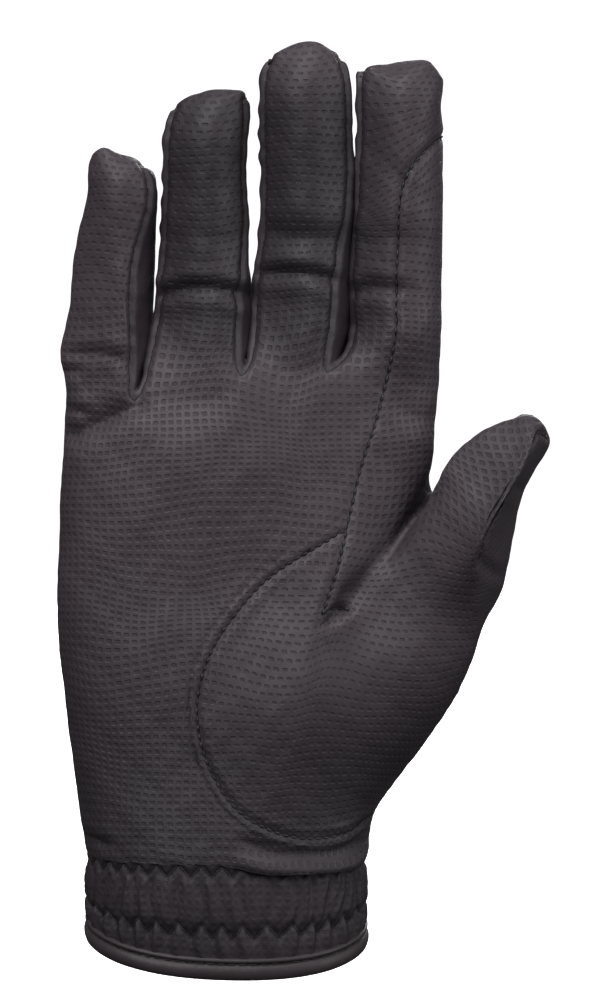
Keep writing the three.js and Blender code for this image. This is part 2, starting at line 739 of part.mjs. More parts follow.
function hemGeometry() {
  const steps = GATHER_COUNT * 2;
  const seat = CUFF_ROWS[CUFF_ROWS.length - 1].out * PALM_DEPTH;
  const rowAt = (row, inset) => (turn) => {
    const out = seat + row.out * HEM_PROUD - inset;
    return wristPlace(turn, out, HEM_HEIGHT * (1 - row.down), 1);
  };
  const outside = HEM_ROWS.map((row) => rowAt(row, 0));
  const ends = [HEM_ROWS[HEM_ROWS.length - 1], HEM_ROWS[0]];
  const inside = ends.map((row) => rowAt(row, 2 * WALL));
  return bandGeometry([...outside, ...inside], steps);
}

function buildGlove() {
  buildCage();
  const cage = connect(targets.length, faces);
  const fitted = fitCage(targets, cage.around);
  const fine = subdivide(fitted, faces, cage);
  const links = connect(fine.points.length, fine.quads);
  const points = limitPoints(fine.points, links.around);
  const normals = pointNormals(points, fine.quads);
  const triangles = fine.quads.flatMap(({ corners, panel }) => fan(corners).map((c) => ({ corners: c, panel })));
  const front = cutAlongSeam(points, normals, triangles.filter(({ panel }) => panel === 'front'));
  const panels = new Map();
  for (const { corners, panel } of [...triangles.filter((item) => item.panel !== 'front'), ...front]) {
    panels.set(panel, [...(panels.get(panel) ?? []), corners]);
  }
  const group = new THREE.Group();
  const finish = (name) => (name.startsWith('fourchette') ? SMOOTH_LEATHER : LEATHER);
  for (const [name, own] of panels) {
    const mesh = new THREE.Mesh(panelGeometry(points, normals, own), new THREE.MeshStandardMaterial(finish(name)));
    mesh.name = name;
    group.add(mesh);
  }
  const cuff = new THREE.Mesh(cuffGeometry(), new THREE.MeshStandardMaterial(GATHERED_LEATHER));
  cuff.name = 'wrist_cuff';
  const hem = new THREE.Mesh(hemGeometry(), new THREE.MeshStandardMaterial(SMOOTH_LEATHER));
  hem.name = 'hem_binding';
  group.add(cuff, hem);
  return group;
}

const group = buildGlove();

export default group;
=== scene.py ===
# The visual model of a right-hand riding glove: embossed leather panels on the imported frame, their seams,
# puckers, creases and stitches, the gathered wrist and the bound hem, on a pale floor in soft studio light.
import math
from itertools import combinations

import bpy
import numpy as np
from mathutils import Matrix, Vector, kdtree


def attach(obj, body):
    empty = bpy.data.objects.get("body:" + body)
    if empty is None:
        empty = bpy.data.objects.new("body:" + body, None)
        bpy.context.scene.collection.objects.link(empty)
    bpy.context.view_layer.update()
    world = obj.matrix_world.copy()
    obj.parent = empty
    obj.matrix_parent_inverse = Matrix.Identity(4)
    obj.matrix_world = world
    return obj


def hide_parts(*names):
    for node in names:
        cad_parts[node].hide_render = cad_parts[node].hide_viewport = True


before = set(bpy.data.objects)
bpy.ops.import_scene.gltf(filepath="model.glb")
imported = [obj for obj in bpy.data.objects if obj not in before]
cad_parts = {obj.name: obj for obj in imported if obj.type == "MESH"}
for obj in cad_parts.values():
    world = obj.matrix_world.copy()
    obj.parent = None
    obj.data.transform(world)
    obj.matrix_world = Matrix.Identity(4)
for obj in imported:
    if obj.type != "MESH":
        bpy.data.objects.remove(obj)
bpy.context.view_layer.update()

MM = 0.001

# Driving sizes of the glove in millimetres, as in the frame.
PALM_WIDTH = 91.0
PALM_LENGTH = 117.0
PALM_DEPTH = 34.0
THUMB_LENGTH = 64.0
THUMB_WIDTH = 29.0
THUMB_DEPTH = 27.0
THUMB_LEAN = math.radians(30)
THUMB_CURL = 3.0
CUFF_HEIGHT = 17.2
HEM_HEIGHT = 4.0
HEM_BOW = 6.4
HEM_TILT = 1.1
WALL = 1.2
WRIST_Z = CUFF_HEIGHT + HEM_HEIGHT
SECTION_POWER = 2.35
LEFT_CORNER = 0.96
BACK_CORNER = 0.8
GATHERS = 36

# Length, width, depth, lean and curl of each finger.
FINGER_SIZES = {
    "little": (56.6, 21.1, 19, 2.4, 5),
    "ring": (68.4, 23.5, 21, 2.8, 5),
    "middle": (77.4, 23.6, 22, 1.7, 5),
    "index": (75.7, 22.1, 21.5, 1.8, 4),
}

# Rings of each finger from its base up: place along the length, half widths to the left and right, half
# depths to the front and back, place of the seam corner and slope, as shares.
FINGER_RINGS = {
    "little": [
        (0.13, 0.53, 0.473, 0.52, 0.52, 0.55, 0),
        (0.34, 0.45, 0.467, 0.53, 0.5, 0.5, 0),
        (0.55, 0.424, 0.465, 0.49, 0.48, 0.55, 0),
        (0.745, 0.34, 0.483, 0.48, 0.46, 0.78, 0),
        (0.883, 0.31, 0.46, 0.42, 0.42, 0.82, 0),
        (0.961, 0.31, 0.34, 0.25, 0.27, 0.82, -0.1),
    ],
    "ring": [
        (0.13, 0.505, 0.503, 0.53, 0.52, 0.7, 0),
        (0.27, 0.471, 0.48, 0.48, 0.5, 0.72, 0),
        (0.459, 0.456, 0.42, 0.51, 0.49, 0.93, 0),
        (0.638, 0.452, 0.378, 0.47, 0.48, 0.96, 0),
        (0.817, 0.455, 0.36, 0.46, 0.44, 0.96, 0),
        (0.946, 0.385, 0.365, 0.28, 0.28, 0.9, 0.12),
    ],
    "middle": [
        (0.12, 0.481, 0.505, 0.53, 0.52, 0.62, 0),
        (0.256, 0.468, 0.5, 0.48, 0.5, 0.64, 0),
        (0.45, 0.42, 0.491, 0.5, 0.49, 0.86, 0),
        (0.66, 0.44, 0.475, 0.49, 0.47, 0.94, 0),
        (0.84, 0.452, 0.44, 0.45, 0.44, 0.95, 0),
        (0.945, 0.375, 0.36, 0.28, 0.28, 0.9, 0),
    ],
    "index": [
        (0.12, 0.466, 0.52, 0.53, 0.52, 0.8, 0),
        (0.243, 0.471, 0.515, 0.48, 0.5, 0.8, 0),
        (0.46, 0.477, 0.503, 0.51, 0.49, 0.8, 0),
        (0.645, 0.455, 0.49, 0.49, 0.47, 0.8, 0.8),
        (0.88, 0.455, 0.455, 0.44, 0.43, 0.8, 0),
        (0.964, 0.4, 0.414, 0.27, 0.27, 0.8, 0),
    ],
}
THUMB_RINGS = [
    (0.49, 0.42, 0.43, 0.47, 0.45, 0.3, -0.42),
    (0.687, 0.425, 0.235, 0.42, 0.4, 0.32, -0.15),
    (0.859, 0.319, 0.195, 0.34, 0.32, 0.38, 0),
    (0.955, 0.16, 0.165, 0.19, 0.19, 0.36, 0),
]

# Rows of the hand: rise at the left and the right, crest at the thumb web, half widths, half depths,
# forward shift of the thumb side and valley beside the ball of the thumb, as shares of the palm sizes.
BODY_ROWS = [
    (0, 0, 0, 0.374, 0.377, 0.68, 0.7, 0, 0),
    (0.08, 0.08, 0.03, 0.393, 0.401, 0.64, 0.62, 0.03, 0),
    (0.195, 0.149, 0.07, 0.412, 0.452, 0.58, 0.52, 0.1, 0),
    (0.32, 0.258, 0.1, 0.433, 0.552, 0.54, 0.46, 0.22, 0.02),
    (0.488, 0.375, 0.1165, 0.452, 0.641, 0.52, 0.43, 0.32, 0.1),
    (0.614, 0.484, 0.116, 0.45, 0.689, 0.5, 0.42, 0.38, 0.14),
    (0.739, 0.802, 0, 0.444, 0.552, 0.47, 0.4, 0, 0),
    (0.865, 0.886, 0, 0.433, 0.563, 0.43, 0.37, 0, 0),
    (0.974, 0.98, 0, 0.428, 0.573, 0.37, 0.34, 0, 0),
]
BALL_ROW, WEB_ROW, CROTCH_ROW = 4, 5, 8
CREST_REACH = 0.5
# Shares of a row's breadth at the wrist, the ball of the thumb, the thumb web, above it and the finger bases.
COLUMN_SHARES = [
    (0.05, 0.03, 0.03, 0.03, 0.03),
    (0.13, 0.1, 0.1, 0.1, 0.105),
    (0.21, 0.18, 0.17, 0.19, 0.188),
    (0.3, 0.28, 0.26, 0.315, 0.34),
    (0.39, 0.38, 0.35, 0.445, 0.476),
    (0.48, 0.47, 0.44, 0.555, 0.6),
    (0.57, 0.56, 0.54, 0.66, 0.704),
    (0.66, 0.653, 0.662, 0.803, 0.855),
    (0.75, 0.717, 0.78, 0.965, 0.965),
    (0.85, 0.862, 0.889),
    (0.95, 0.965, 0.974),
]
WEB_COLUMN, INDEX_SEAM_COLUMN, MAP_COLUMN = 8, 7, 4
# Crotches: column, front place and middle place, as shares of the palm width and length.
CROTCHES = {
    2: ((-0.24, 0.961), (-0.197, 0.997)),
    4: ((0.048, 1.009), (0.073, 1.032)),
    6: ((0.277, 1.0156), (0.331, 1.0386)),
}
# Points of the thumb web and the root of the thumb: across, up and depth, as shares of the palm sizes.
WEB_MIDDLE = (0.536, 0.722, -0.14)
WEB_BACK = (0.555, 0.7, 0.22)
THUMB_ROOT = (0.482, 0.446, -0.36)
# Mounds of the palm: across, up, reach, height.
PALM_RELIEF = [
    (0.24, 0.32, 0.34, 0.16), (0.02, 0.6, 0.3, -0.055), (-0.3, 0.36, 0.26, 0.05), (-0.05, 0.9, 0.22, 0.03),
]
# The seam round the ball of the thumb: across and up, as shares of the palm sizes.
THENAR_SEAM = [
    (0.326, 0.693), (0.24, 0.653), (0.118, 0.59), (0.04, 0.526), (-0.03, 0.446), (-0.07, 0.346),
    (-0.064, 0.256), (-0.02, 0.17), (0.048, 0.105), (0.167, 0.063), (0.32, 0.06), (0.398, 0.084), (0.6, 0.1),
]
# Rounds that fit the cage to its wanted points, levels of subdivision, and the share of an edge within
# which a point is drawn onto the thumb seam.
FIT_ROUNDS = 14
LEVELS = 4
SNAP = 0.25


def mix(a, b, t):
    return a + (b - a) * t


def roundness(across):
    return max(0.0, 1 - abs(across) ** SECTION_POWER) ** (1 / SECTION_POWER)


def smooth(t):
    t = np.clip(t, 0, 1)
    return t * t * (3 - 2 * t)


def bell(away, width):
    return np.exp(-(away / width) ** 2)


# The cage: points in millimetres with the flat maps of the front and back leather, and panels of faces.
points = []
maps = []
faces = []
panels = []


def add_point(place):
    points.append(list(place))
    maps.append([0.0] * 4)
    return len(points) - 1


def add_face(corners, panel):
    faces.append(corners)
    panels.append(panel)


def palm_relief(x, z):
    total = 0.0
    for across, up, reach, height in PALM_RELIEF:
        dx = x / PALM_WIDTH - across
        dz = ((z - WRIST_Z) / PALM_LENGTH - up) * (PALM_LENGTH / PALM_WIDTH)
        total += height * PALM_DEPTH * math.exp(-(dx * dx + dz * dz) / (reach * reach / 2))
    return total


def column_share(column, row):
    shares = COLUMN_SHARES[column]
    if row <= BALL_ROW:
        return mix(shares[0], shares[1], row / BALL_ROW)
    if row == WEB_ROW:
        return shares[2]
    return mix(shares[3], shares[4], (row - WEB_ROW - 1) / (CROTCH_ROW - WEB_ROW - 1))


def crest_share(row, share):
    web = column_share(WEB_COLUMN, row)
    return (1 - share) / (1 - web) if share > web else max(0.0, 1 - (web - share) / CREST_REACH)


def body_depth(row, share, face, x, z):
    _, _, _, _, _, front, back, forward, _ = BODY_ROWS[row]
    across = 2 * share - 1
    shift = -forward * PALM_DEPTH * max(0.0, across) ** 2
    relief = palm_relief(x, z) if 0 < row < CROTCH_ROW else 0.0
    if face < 0:
        return shift - (front * PALM_DEPTH + relief) * roundness(across)
    return shift + face * back * PALM_DEPTH * roundness(across)


def body_place(row, share, face):
    low, high, crest, left, right = BODY_ROWS[row][:5]
    x = mix(-left, right, share) * PALM_WIDTH
    z = WRIST_Z + (mix(low, high, share) + crest * crest_share(row, share)) * PALM_LENGTH
    return [x, body_depth(row, share, face, x, z), z]


def place_of(shares):
    across, up, depth = (*shares, 0.0)[:3]
    return [across * PALM_WIDTH, depth * PALM_DEPTH, WRIST_Z + up * PALM_LENGTH]


def share_at(row, x):
    left, right = BODY_ROWS[row][3:5]
    return (x / PALM_WIDTH + left) / (left + right)


def build_row(row):
    count = len(COLUMN_SHARES) if row <= WEB_ROW else WEB_COLUMN + 1
    front, back = [], []
    for column in range(count):
        share = column_share(column, row)
        palm, rear = body_place(row, share, -1), body_place(row, share, 1)
        if row == CROTCH_ROW and column in CROTCHES:
            near, middle = CROTCHES[column]
            x, _, z = place_of(near)
            behind = place_of(middle)[0]
            palm = [x, body_depth(row, share_at(row, x), -1, x, z), z]
            rear = [behind, body_depth(row, share_at(row, behind), 1, behind, z), z]
        if column == WEB_COLUMN:
            palm[1] += BODY_ROWS[row][8] * PALM_DEPTH
            if row == WEB_ROW:
                rear = place_of(WEB_BACK)
        front.append(add_point(palm))
        back.append(add_point(rear))
    left, right = (add_point(body_place(row, share, 0)) for share in (0, 1))
    return dict(front=front, back=back, left=left, right=right)


def gap_length(a, b):
    return math.dist(points[a], points[b])


def set_map(point, which, flat):
    maps[point][2 * which:2 * which + 2] = flat


def runs_along(chain, middle):
    """Each point of a chain with its distance along the chain from the middle one, less than 0 before it."""
    for way in (1, -1):
        run, i = 0.0, middle
        while 0 <= i < len(chain):
            yield chain[i], way * run
            if 0 <= i + way < len(chain):
                run += gap_length(chain[i], chain[i + way])
            i += way


def map_row(row):
    """Flat maps of the front and the back leather in a row: the way along it, and its height."""
    half = len(row["back"]) // 2
    for which, near, far in ((0, row["front"], row["back"]), (1, row["back"], row["front"])):
        chain = far[:half][::-1] + [row["left"]] + near + [row["right"]] + far[half:][::-1]
        middle = near[MAP_COLUMN]
        for point, run in runs_along(chain, chain.index(middle)):
            set_map(point, which, [points[middle][0] + run, points[point][2]])


def join_rings(lower, upper, panel_at):
    count = len(lower)
    for i in range(count):
        after = (i + 1) % count
        add_face([lower[i], lower[after], upper[after], upper[i]], panel_at(i))


def whole_ring(row, columns, right):
    return row["front"][:columns] + [right] + row["back"][:columns][::-1] + [row["left"]]


def body_panel(row, i, columns):
    if row == BALL_ROW and i == INDEX_SEAM_COLUMN:
        return "index_side_panel"
    if row >= WEB_ROW and INDEX_SEAM_COLUMN <= i <= columns:
        return "index_side_panel"
    return "front" if i <= columns - 1 or i >= 2 * columns else "back_panel"


def digit_axis(start, length, lean, curl, turn):
    up = np.array([math.sin(turn), 0, math.cos(turn)])
    across = np.array([math.cos(turn), 0, -math.sin(turn)])

    def at(share):
        place = np.array(start) + share * (length * up + lean * across)
        place[1] -= share * share * curl
        return place

    return up, across, at


def build_digit(base, width, depth, rings, axis, panel_at):
    up, across_way, at = axis
    stack = [base]
    for along, left, right, front, back, seam, rise in rings:
        centre = at(along)
        left, right = -left * width, right * width
        front, back = -front * depth, back * depth

        def place(across, out):
            spot = centre + across * across_way + across * rise * up
            spot[1] = centre[1] + out
            return add_point(spot)

        stack.append([
            place(left * LEFT_CORNER, front * roundness(LEFT_CORNER)),
            place(0, front),
            place(right * seam, front * roundness(seam)),
            place(right, 0),
            place(right * BACK_CORNER, back * roundness(BACK_CORNER)),
            place(0, back),
            place(left * BACK_CORNER, back * roundness(BACK_CORNER)),
            place(left, 0),
        ])
    for i in range(len(stack) - 1):
        join_rings(stack[i], stack[i + 1], lambda j: panel_at(i, j))
    last = stack[-1]
    tip = add_point(at(1))
    for j, owner in ((1, 1), (3, 4), (5, 4), (7, 0)):
        add_face([last[j], last[(j + 1) % 8], last[(j + 2) % 8], tip], panel_at(len(rings), owner))
    map_digit(stack, tip, up[[0, 2]], across_way[[0, 2]])


# For the front and the back map of a digit: the ring's middle corner, and its corners in order across.
DIGIT_MAPS = [(0, 1, (5, 6, 7, 0, 1, 2, 3, 4)), (1, 5, (2, 1, 0, 7, 6, 5, 4, 3))]


def map_digit(stack, tip, up, across):
    """Flat maps of a finger or the thumb: round each ring from its middle, and up along its axis."""
    for which, centre_at, order in DIGIT_MAPS:
        before = stack[0][centre_at]
        flat = np.array(maps[before][2 * which:2 * which + 2])
        for ring in stack[1:]:
            flat = flat + gap_length(before, ring[centre_at]) * up
            before = ring[centre_at]
            chain = [ring[j] for j in order]
            for point, run in runs_along(chain, chain.index(before)):
                set_map(point, which, flat + run * across)
        set_map(tip, which, flat + gap_length(before, tip) * up)


# Each finger with the strips on its left and right side.
FINGER_PLANS = [
    ("little", None, "fourchette_ring_little"),
    ("ring", "fourchette_ring_little", "fourchette_middle_ring"),
    ("middle", "fourchette_middle_ring", "fourchette_index_middle"),
    ("index", "fourchette_index_middle", None),
]
INDEX_PANEL_RINGS = 4


def finger_panel(plan, i, j):
    name, left, right = plan
    on_index = name == "index" and i < INDEX_PANEL_RINGS
    if j in (0, 1):
        return "index_side_panel" if on_index and j == 1 else "palm_panel"
    if j in (2, 3):
        return right or ("index_side_panel" if on_index else "palm_panel")
    if j in (4, 5):
        return "back_panel"
    return left or "palm_panel"


def thumb_panel(_, j):
    return "thumb_front_panel" if j in (0, 1, 7) else "thumb_back_panel"


def build_cage():
    rows = [build_row(row) for row in range(len(BODY_ROWS))]
    web_middle = add_point(place_of(WEB_MIDDLE))
    for row in rows:
        map_row(row)
    below, above = rows[WEB_ROW]["front"][WEB_COLUMN], rows[WEB_ROW + 1]["right"]
    maps[web_middle][:] = [mix(a, b, 0.5) for a, b in zip(maps[below], maps[above])]
    for row in range(CROTCH_ROW):
        columns = len(COLUMN_SHARES) if row < WEB_ROW else WEB_COLUMN + 1
        lower = whole_ring(rows[row], columns, web_middle if row == WEB_ROW else rows[row]["right"])
        upper = whole_ring(rows[row + 1], columns, rows[row + 1]["right"])
        join_rings(lower, upper, lambda i: body_panel(row, i, columns))
    top = rows[CROTCH_ROW]
    middles = []
    for column, (_, middle) in CROTCHES.items():
        spot = place_of(middle)
        middles.append(add_point([spot[0], 0.0, spot[2]]))
        maps[middles[-1]][:] = maps[top["front"][column]]
    for finger, plan in enumerate(FINGER_PLANS):
        first = 2 * finger
        left = top["left"] if finger == 0 else middles[finger - 1]
        right = top["right"] if finger == len(FINGER_PLANS) - 1 else middles[finger]
        base = top["front"][first:first + 3] + [right] + top["back"][first:first + 3][::-1] + [left]
        length, width, depth, lean, curl = FINGER_SIZES[plan[0]]
        start = [mix(a, b, 0.5) for a, b in zip(points[left], points[right])]
        axis = digit_axis(start, length, lean, curl, 0)
        build_digit(base, width, depth, FINGER_RINGS[plan[0]], axis, lambda i, j: finger_panel(plan, i, j))
    root = rows[WEB_ROW]
    base = root["front"][WEB_COLUMN:] + [root["right"]] + root["back"][WEB_COLUMN:][::-1] + [web_middle]
    axis = digit_axis(place_of(THUMB_ROOT), THUMB_LENGTH, 0, THUMB_CURL, THUMB_LEAN)
    build_digit(base, THUMB_WIDTH, THUMB_DEPTH, THUMB_RINGS, axis, thumb_panel)


def edge_table(quads):
    """Each face's edge numbers, each edge's ends and how many faces it has."""
    ends = np.stack([quads, np.roll(quads, -1, axis=1)], axis=2).reshape(-1, 2)
    unique, inverse = np.unique(np.sort(ends, axis=1), axis=0, return_inverse=True)
    inverse = inverse.reshape(-1, 4)
    return unique, inverse, np.bincount(inverse.ravel(), minlength=len(unique))


def limit_rule(count, quads):
    """The matrix that gives the places on the smooth surface of a cage's points."""
    edges, _, uses = edge_table(quads)
    rule = np.zeros((count, count))
    near = np.zeros(count)
    rim = set(edges[uses == 1].ravel().tolist())
    for a, b in edges:
        near[a] += 1
        near[b] += 1
    for (a, b), use in zip(edges, uses):
        for one, other in ((a, b), (b, a)):
            if one in rim:
                rule[one, other] += 1 / 6 if use == 1 else 0
            else:
                rule[one, other] += 4 / (near[one] * (near[one] + 5))
    for quad in quads:
        for i in range(4):
            one = quad[i]
            if one not in rim:
                rule[one, quad[(i + 2) % 4]] += 1 / (near[one] * (near[one] + 5))
    for i in range(count):
        rule[i, i] += 4 / 6 if i in rim else near[i] / (near[i] + 5)
    return rule


def subdivide(values, quads):
    edges, face_edges, uses = edge_table(quads)
    count, edge_count = len(values), len(edges)
    middles = values[quads].mean(axis=1)
    ends = values[edges].sum(axis=1)
    face_sum = np.zeros((edge_count, values.shape[1]))
    np.add.at(face_sum, face_edges.ravel(), np.repeat(middles, 4, axis=0))
    inner = uses == 2
    edge_points = ends / 2
    edge_points[inner] = (ends[inner] + face_sum[inner]) / 4
    valence = np.bincount(edges.ravel(), minlength=count).astype(float)[:, None]
    face_part = np.zeros_like(values)
    np.add.at(face_part, quads.ravel(), np.repeat(middles, 4, axis=0))
    edge_part = np.zeros_like(values)
    np.add.at(edge_part, edges[:, 0], ends / 2)
    np.add.at(edge_part, edges[:, 1], ends / 2)
    moved = (face_part / valence + 2 * edge_part / valence + (valence - 3) * values) / valence
    rim_edges = edges[uses == 1]
    rim = np.unique(rim_edges)
    rim_sum = np.zeros_like(values)
    np.add.at(rim_sum, rim_edges[:, 0], values[rim_edges[:, 1]])
    np.add.at(rim_sum, rim_edges[:, 1], values[rim_edges[:, 0]])
    moved[rim] = 0.75 * values[rim] + rim_sum[rim] / 8
    after = face_edges + count
    before = np.roll(after, 1, axis=1)
    centre = (np.arange(len(quads)) + count + edge_count)[:, None].repeat(4, axis=1)
    fine = np.stack([quads, after, centre, before], axis=2).reshape(-1, 4)
    return np.vstack([moved, edge_points, middles]), fine


def fan_triangles(quads):
    return np.concatenate([quads[:, [0, 1, 2]], quads[:, [0, 2, 3]]])


def unit(vectors):
    return vectors / np.maximum(np.linalg.norm(vectors, axis=-1, keepdims=True), 1e-12)


def point_normals(places, triangles):
    a, b, c = (places[triangles[:, i]] for i in range(3))
    area = np.cross(b - a, c - a)
    total = np.zeros_like(places)
    for i in range(3):
        np.add.at(total, triangles[:, i], area)
    return unit(total)


def curve_points(knots, steps):
    """A smooth curve through the knots (centripetal Catmull-Rom)."""
    knots = [np.array(knot, float) for knot in knots]
    padded = [2 * knots[0] - knots[1], *knots, 2 * knots[-1] - knots[-2]]
    line = []
    for p0, p1, p2, p3 in zip(padded, padded[1:], padded[2:], padded[3:]):
        t0 = 0.0
        t1 = t0 + max(np.linalg.norm(p1 - p0), 1e-6) ** 0.5
        t2 = t1 + max(np.linalg.norm(p2 - p1), 1e-6) ** 0.5
        t3 = t2 + max(np.linalg.norm(p3 - p2), 1e-6) ** 0.5
        for t in np.linspace(t1, t2, steps, endpoint=False):
            a1 = (t1 - t) / (t1 - t0) * p0 + (t - t0) / (t1 - t0) * p1
            a2 = (t2 - t) / (t2 - t1) * p1 + (t - t1) / (t2 - t1) * p2
            a3 = (t3 - t) / (t3 - t2) * p2 + (t - t2) / (t3 - t2) * p3
            b1 = (t2 - t) / (t2 - t0) * a1 + (t - t0) / (t2 - t0) * a2
            b2 = (t3 - t) / (t3 - t1) * a2 + (t - t1) / (t3 - t1) * a3
            line.append((t2 - t) / (t2 - t1) * b1 + (t - t1) / (t2 - t1) * b2)
    return np.array([*line, knots[-1]])


def line_distance(line, flat):
    """Distance of flat places to a line, and how far along the line the nearest place lies."""
    best = np.full(len(flat), np.inf)
    along = np.zeros(len(flat))
    run = 0.0
    for a, b in zip(line[:-1], line[1:]):
        step = b - a
        length = np.linalg.norm(step)
        t = np.clip((flat - a) @ step / max(length * length, 1e-12), 0, 1)
        away = np.linalg.norm(flat - (a + t[:, None] * step), axis=1)
        closer = away < best
        best[closer] = away[closer]
        along[closer] = run + t[closer] * length
        run += length
    return best, along


def thenar_line():
    knots = [(place_of(share)[0], place_of(share)[2]) for share in THENAR_SEAM]
    return curve_points(knots, 8)


def thenar_field(flat):
    """Signed distance to the seam round the ball of the thumb, positive inside."""
    line = thenar_line()
    outline = np.vstack([line, [[PALM_WIDTH, line[-1][1]], [PALM_WIDTH, line[0][1]]]])
    inside = np.zeros(len(flat), bool)
    x, z = flat[:, 0], flat[:, 1]
    for a, b in zip(outline, np.roll(outline, -1, axis=0)):
        if a[1] == b[1]:
            continue
        crosses = ((a[1] > z) != (b[1] > z)) & (x < a[0] + (b[0] - a[0]) * (z - a[1]) / (b[1] - a[1]))
        inside ^= crosses
    away, _ = line_distance(line, flat)
    return np.where(inside, away, -away)


def cut_along_seam(values, triangles, chosen):
    """Divides the chosen triangles along the thumb seam. Gives the values and the triangles of both sides."""
    field = thenar_field(values[:, [0, 2]])
    local = triangles[chosen]
    used = np.zeros(len(values), bool)
    used[local.ravel()] = True
    slid = set()
    sides = field[local]
    crossing = (sides.min(axis=1) < 0) & (sides.max(axis=1) > 0)
    for tri in local[crossing]:
        for i in range(3):
            a = tri[i]
            for b in (tri[(i + 1) % 3], tri[(i + 2) % 3]):
                if field[a] * field[b] < 0 and a not in slid:
                    t = field[a] / (field[a] - field[b])
                    if t < SNAP:
                        values[a] = values[a] + (values[b] - values[a]) * t
                        field[a] = 0.0
                        slid.add(a)
    extra, cuts = [], {}

    def cut_point(a, b):
        key = (min(a, b), max(a, b))
        if key not in cuts:
            t = field[a] / (field[a] - field[b])
            extra.append(values[a] + (values[b] - values[a]) * t)
            cuts[key] = len(values) + len(extra) - 1
        return cuts[key]

    def value_of(i):
        return field[i] if i < len(field) else 0.0

    inner, outer = [], []
    sides = field[local]
    crossing = (sides.min(axis=1) < 0) & (sides.max(axis=1) > 0)
    whole = local[~crossing]
    level = field[whole]
    is_inner = level.max(axis=1) > -level.min(axis=1)
    for tri in local[crossing]:
        ring = []
        for i in range(3):
            a, b = tri[i], tri[(i + 1) % 3]
            ring.append(a)
            if field[a] * field[b] < 0:
                ring.append(cut_point(a, b))
        on_seam = [k for k, i in enumerate(ring) if value_of(i) == 0]
        if len(on_seam) < 2:
            (inner if sum(value_of(i) for i in ring) > 0 else outer).append(ring[:3])
            continue
        start, stop = on_seam[0], on_seam[1]
        for part in (ring[start:stop + 1], ring[stop:] + ring[:start + 1]):
            if len(part) < 3:
                continue
            target = inner if sum(value_of(i) for i in part) > 0 else outer
            for k in range(1, len(part) - 1):
                target.append([part[0], part[k], part[k + 1]])
    values = np.vstack([values, np.array(extra)]) if extra else values
    inner = np.vstack([whole[is_inner], np.array(inner, int).reshape(-1, 3)])
    outer = np.vstack([whole[~is_inner], np.array(outer, int).reshape(-1, 3)])
    return values, inner, outer


# Creases and folds of the front leather, in millimetres: a line of places (across, up), the depth and the
# width of the crease, and how far the leather bulges over it and below it.
CREASES = [
    ([(-39, 143.6), (-31, 144.2), (-24, 143)], 0.75, 1.5, 0.35, 0.2),
    ([(-40, 139.4), (-35, 140.2)], 0.8, 1.3, 0.3, 0.4),
    ([(-40, 123.5), (-31, 127.5), (-18, 133.5)], 2.2, 2.4, 0.5, 0.3),
    ([(-39.5, 130.5), (-33.5, 130)], 1.0, 1.2, 0.3, 0.3),
    ([(-17, 157.6), (-10, 159.8), (-2, 160), (6, 158.4)], 1.15, 1.5, 0.75, 0.55),
    ([(-16, 171), (-5, 172.5), (5, 171)], 0.45, 3.2, 0.2, 0.1),
    ([(-14, 135.5), (-7, 132.5), (0, 135)], 0.8, 4.6, 0, 0),
    ([(9, 163.4), (18, 163.8), (27, 162.2)], 1.1, 1.5, 0.75, 0.5),
    ([(9, 173.6), (19, 172.6), (29, 172)], 0.8, 2.6, 0.35, 0.1),
    ([(12, 142), (19, 140), (26, 141.5)], 0.5, 3.6, 0, 0),
    ([(30.5, 158.8), (37, 160.2), (44, 159.4)], 0.8, 1.6, 0.5, 0.35),
    ([(31, 171), (42, 172), (51, 170.5)], 0.5, 3.0, 0.2, 0.1),
    ([(43, 130), (47, 128.4), (53, 129)], 0.5, 2.2, 0.2, 0.1),
    ([(4.9, 27.2), (14.7, 24.8), (25.7, 24.6), (34.5, 26.5)], 1.0, 1.3, 0.5, 0.5),
    ([(-37.5, 26.2), (-28, 25)], 1.2, 1.3, 0.3, 0.2),
    ([(22.8, 79), (26.2, 80.4), (29.2, 83.3)], 1.3, 1.2, 0.2, 0.6),
    (
        [(28.7, 83.1), (31.1, 85.5), (35, 91.9), (40.4, 97.8), (47.8, 106.8), (52.7, 113.4)],
        0.9, 1.9, 0.1, 0.3,
    ),
    ([(61.5, 95), (64.9, 91.9), (68.5, 90.4)], 0.7, 1.3, 0.3, 0.3),
    ([(70, 113), (73, 110.5), (76, 110)], 0.7, 1.6, 0.2, 0.2),
]
# How the leather draws in at a seam, in millimetres: depth and width of the groove, place, width and height
# of the lip beside it, height, pitch and reach of the puckers, and the gap between the two edges.
SEAM_GROOVE, SEAM_GROOVE_WIDTH = 0.55, 0.9
SEAM_LIP_PLACE, SEAM_LIP_WIDTH, SEAM_LIP = 2.0, 1.1, 0.16
PUCKER, PUCKER_PITCH, PUCKER_REACH = 0.12, 4.3, 2.4
SEAM_GAP = 0.16
# Where the thumb seam ends as a dart, and where the tongue of the index panel ends.
DART_END = (60.0, 95.0)
DART_OVERLAP = 4
TONGUE_END = 30.5
# The corner of the index seam, the length of seam that is rounded there, the rounds, the area that follows
# and how fast that fades.
INDEX_CORNER = (43.0, 190.0)
CORNER_LENGTH, CORNER_ROUNDS, CORNER_AREA, CORNER_FADE = 16, 90, 22, 5.0
# The second line outside the seam round the ball of the thumb: its place, and depth and width of its groove
# and of the lip between the two.
TOPSTITCH_SIDE = 2.2
TOPSTITCH_GROOVE, TOPSTITCH_GROOVE_WIDTH = 0.5, 0.55
TOPSTITCH_LIP, TOPSTITCH_LIP_WIDTH = 0.2, 0.6
# The ripple of the left finger sides: height, pitch, reach from the seam and where it begins.
RIPPLE, RIPPLE_PITCH, RIPPLE_REACH, RIPPLE_START = 0.45, 7.5, 6, 165
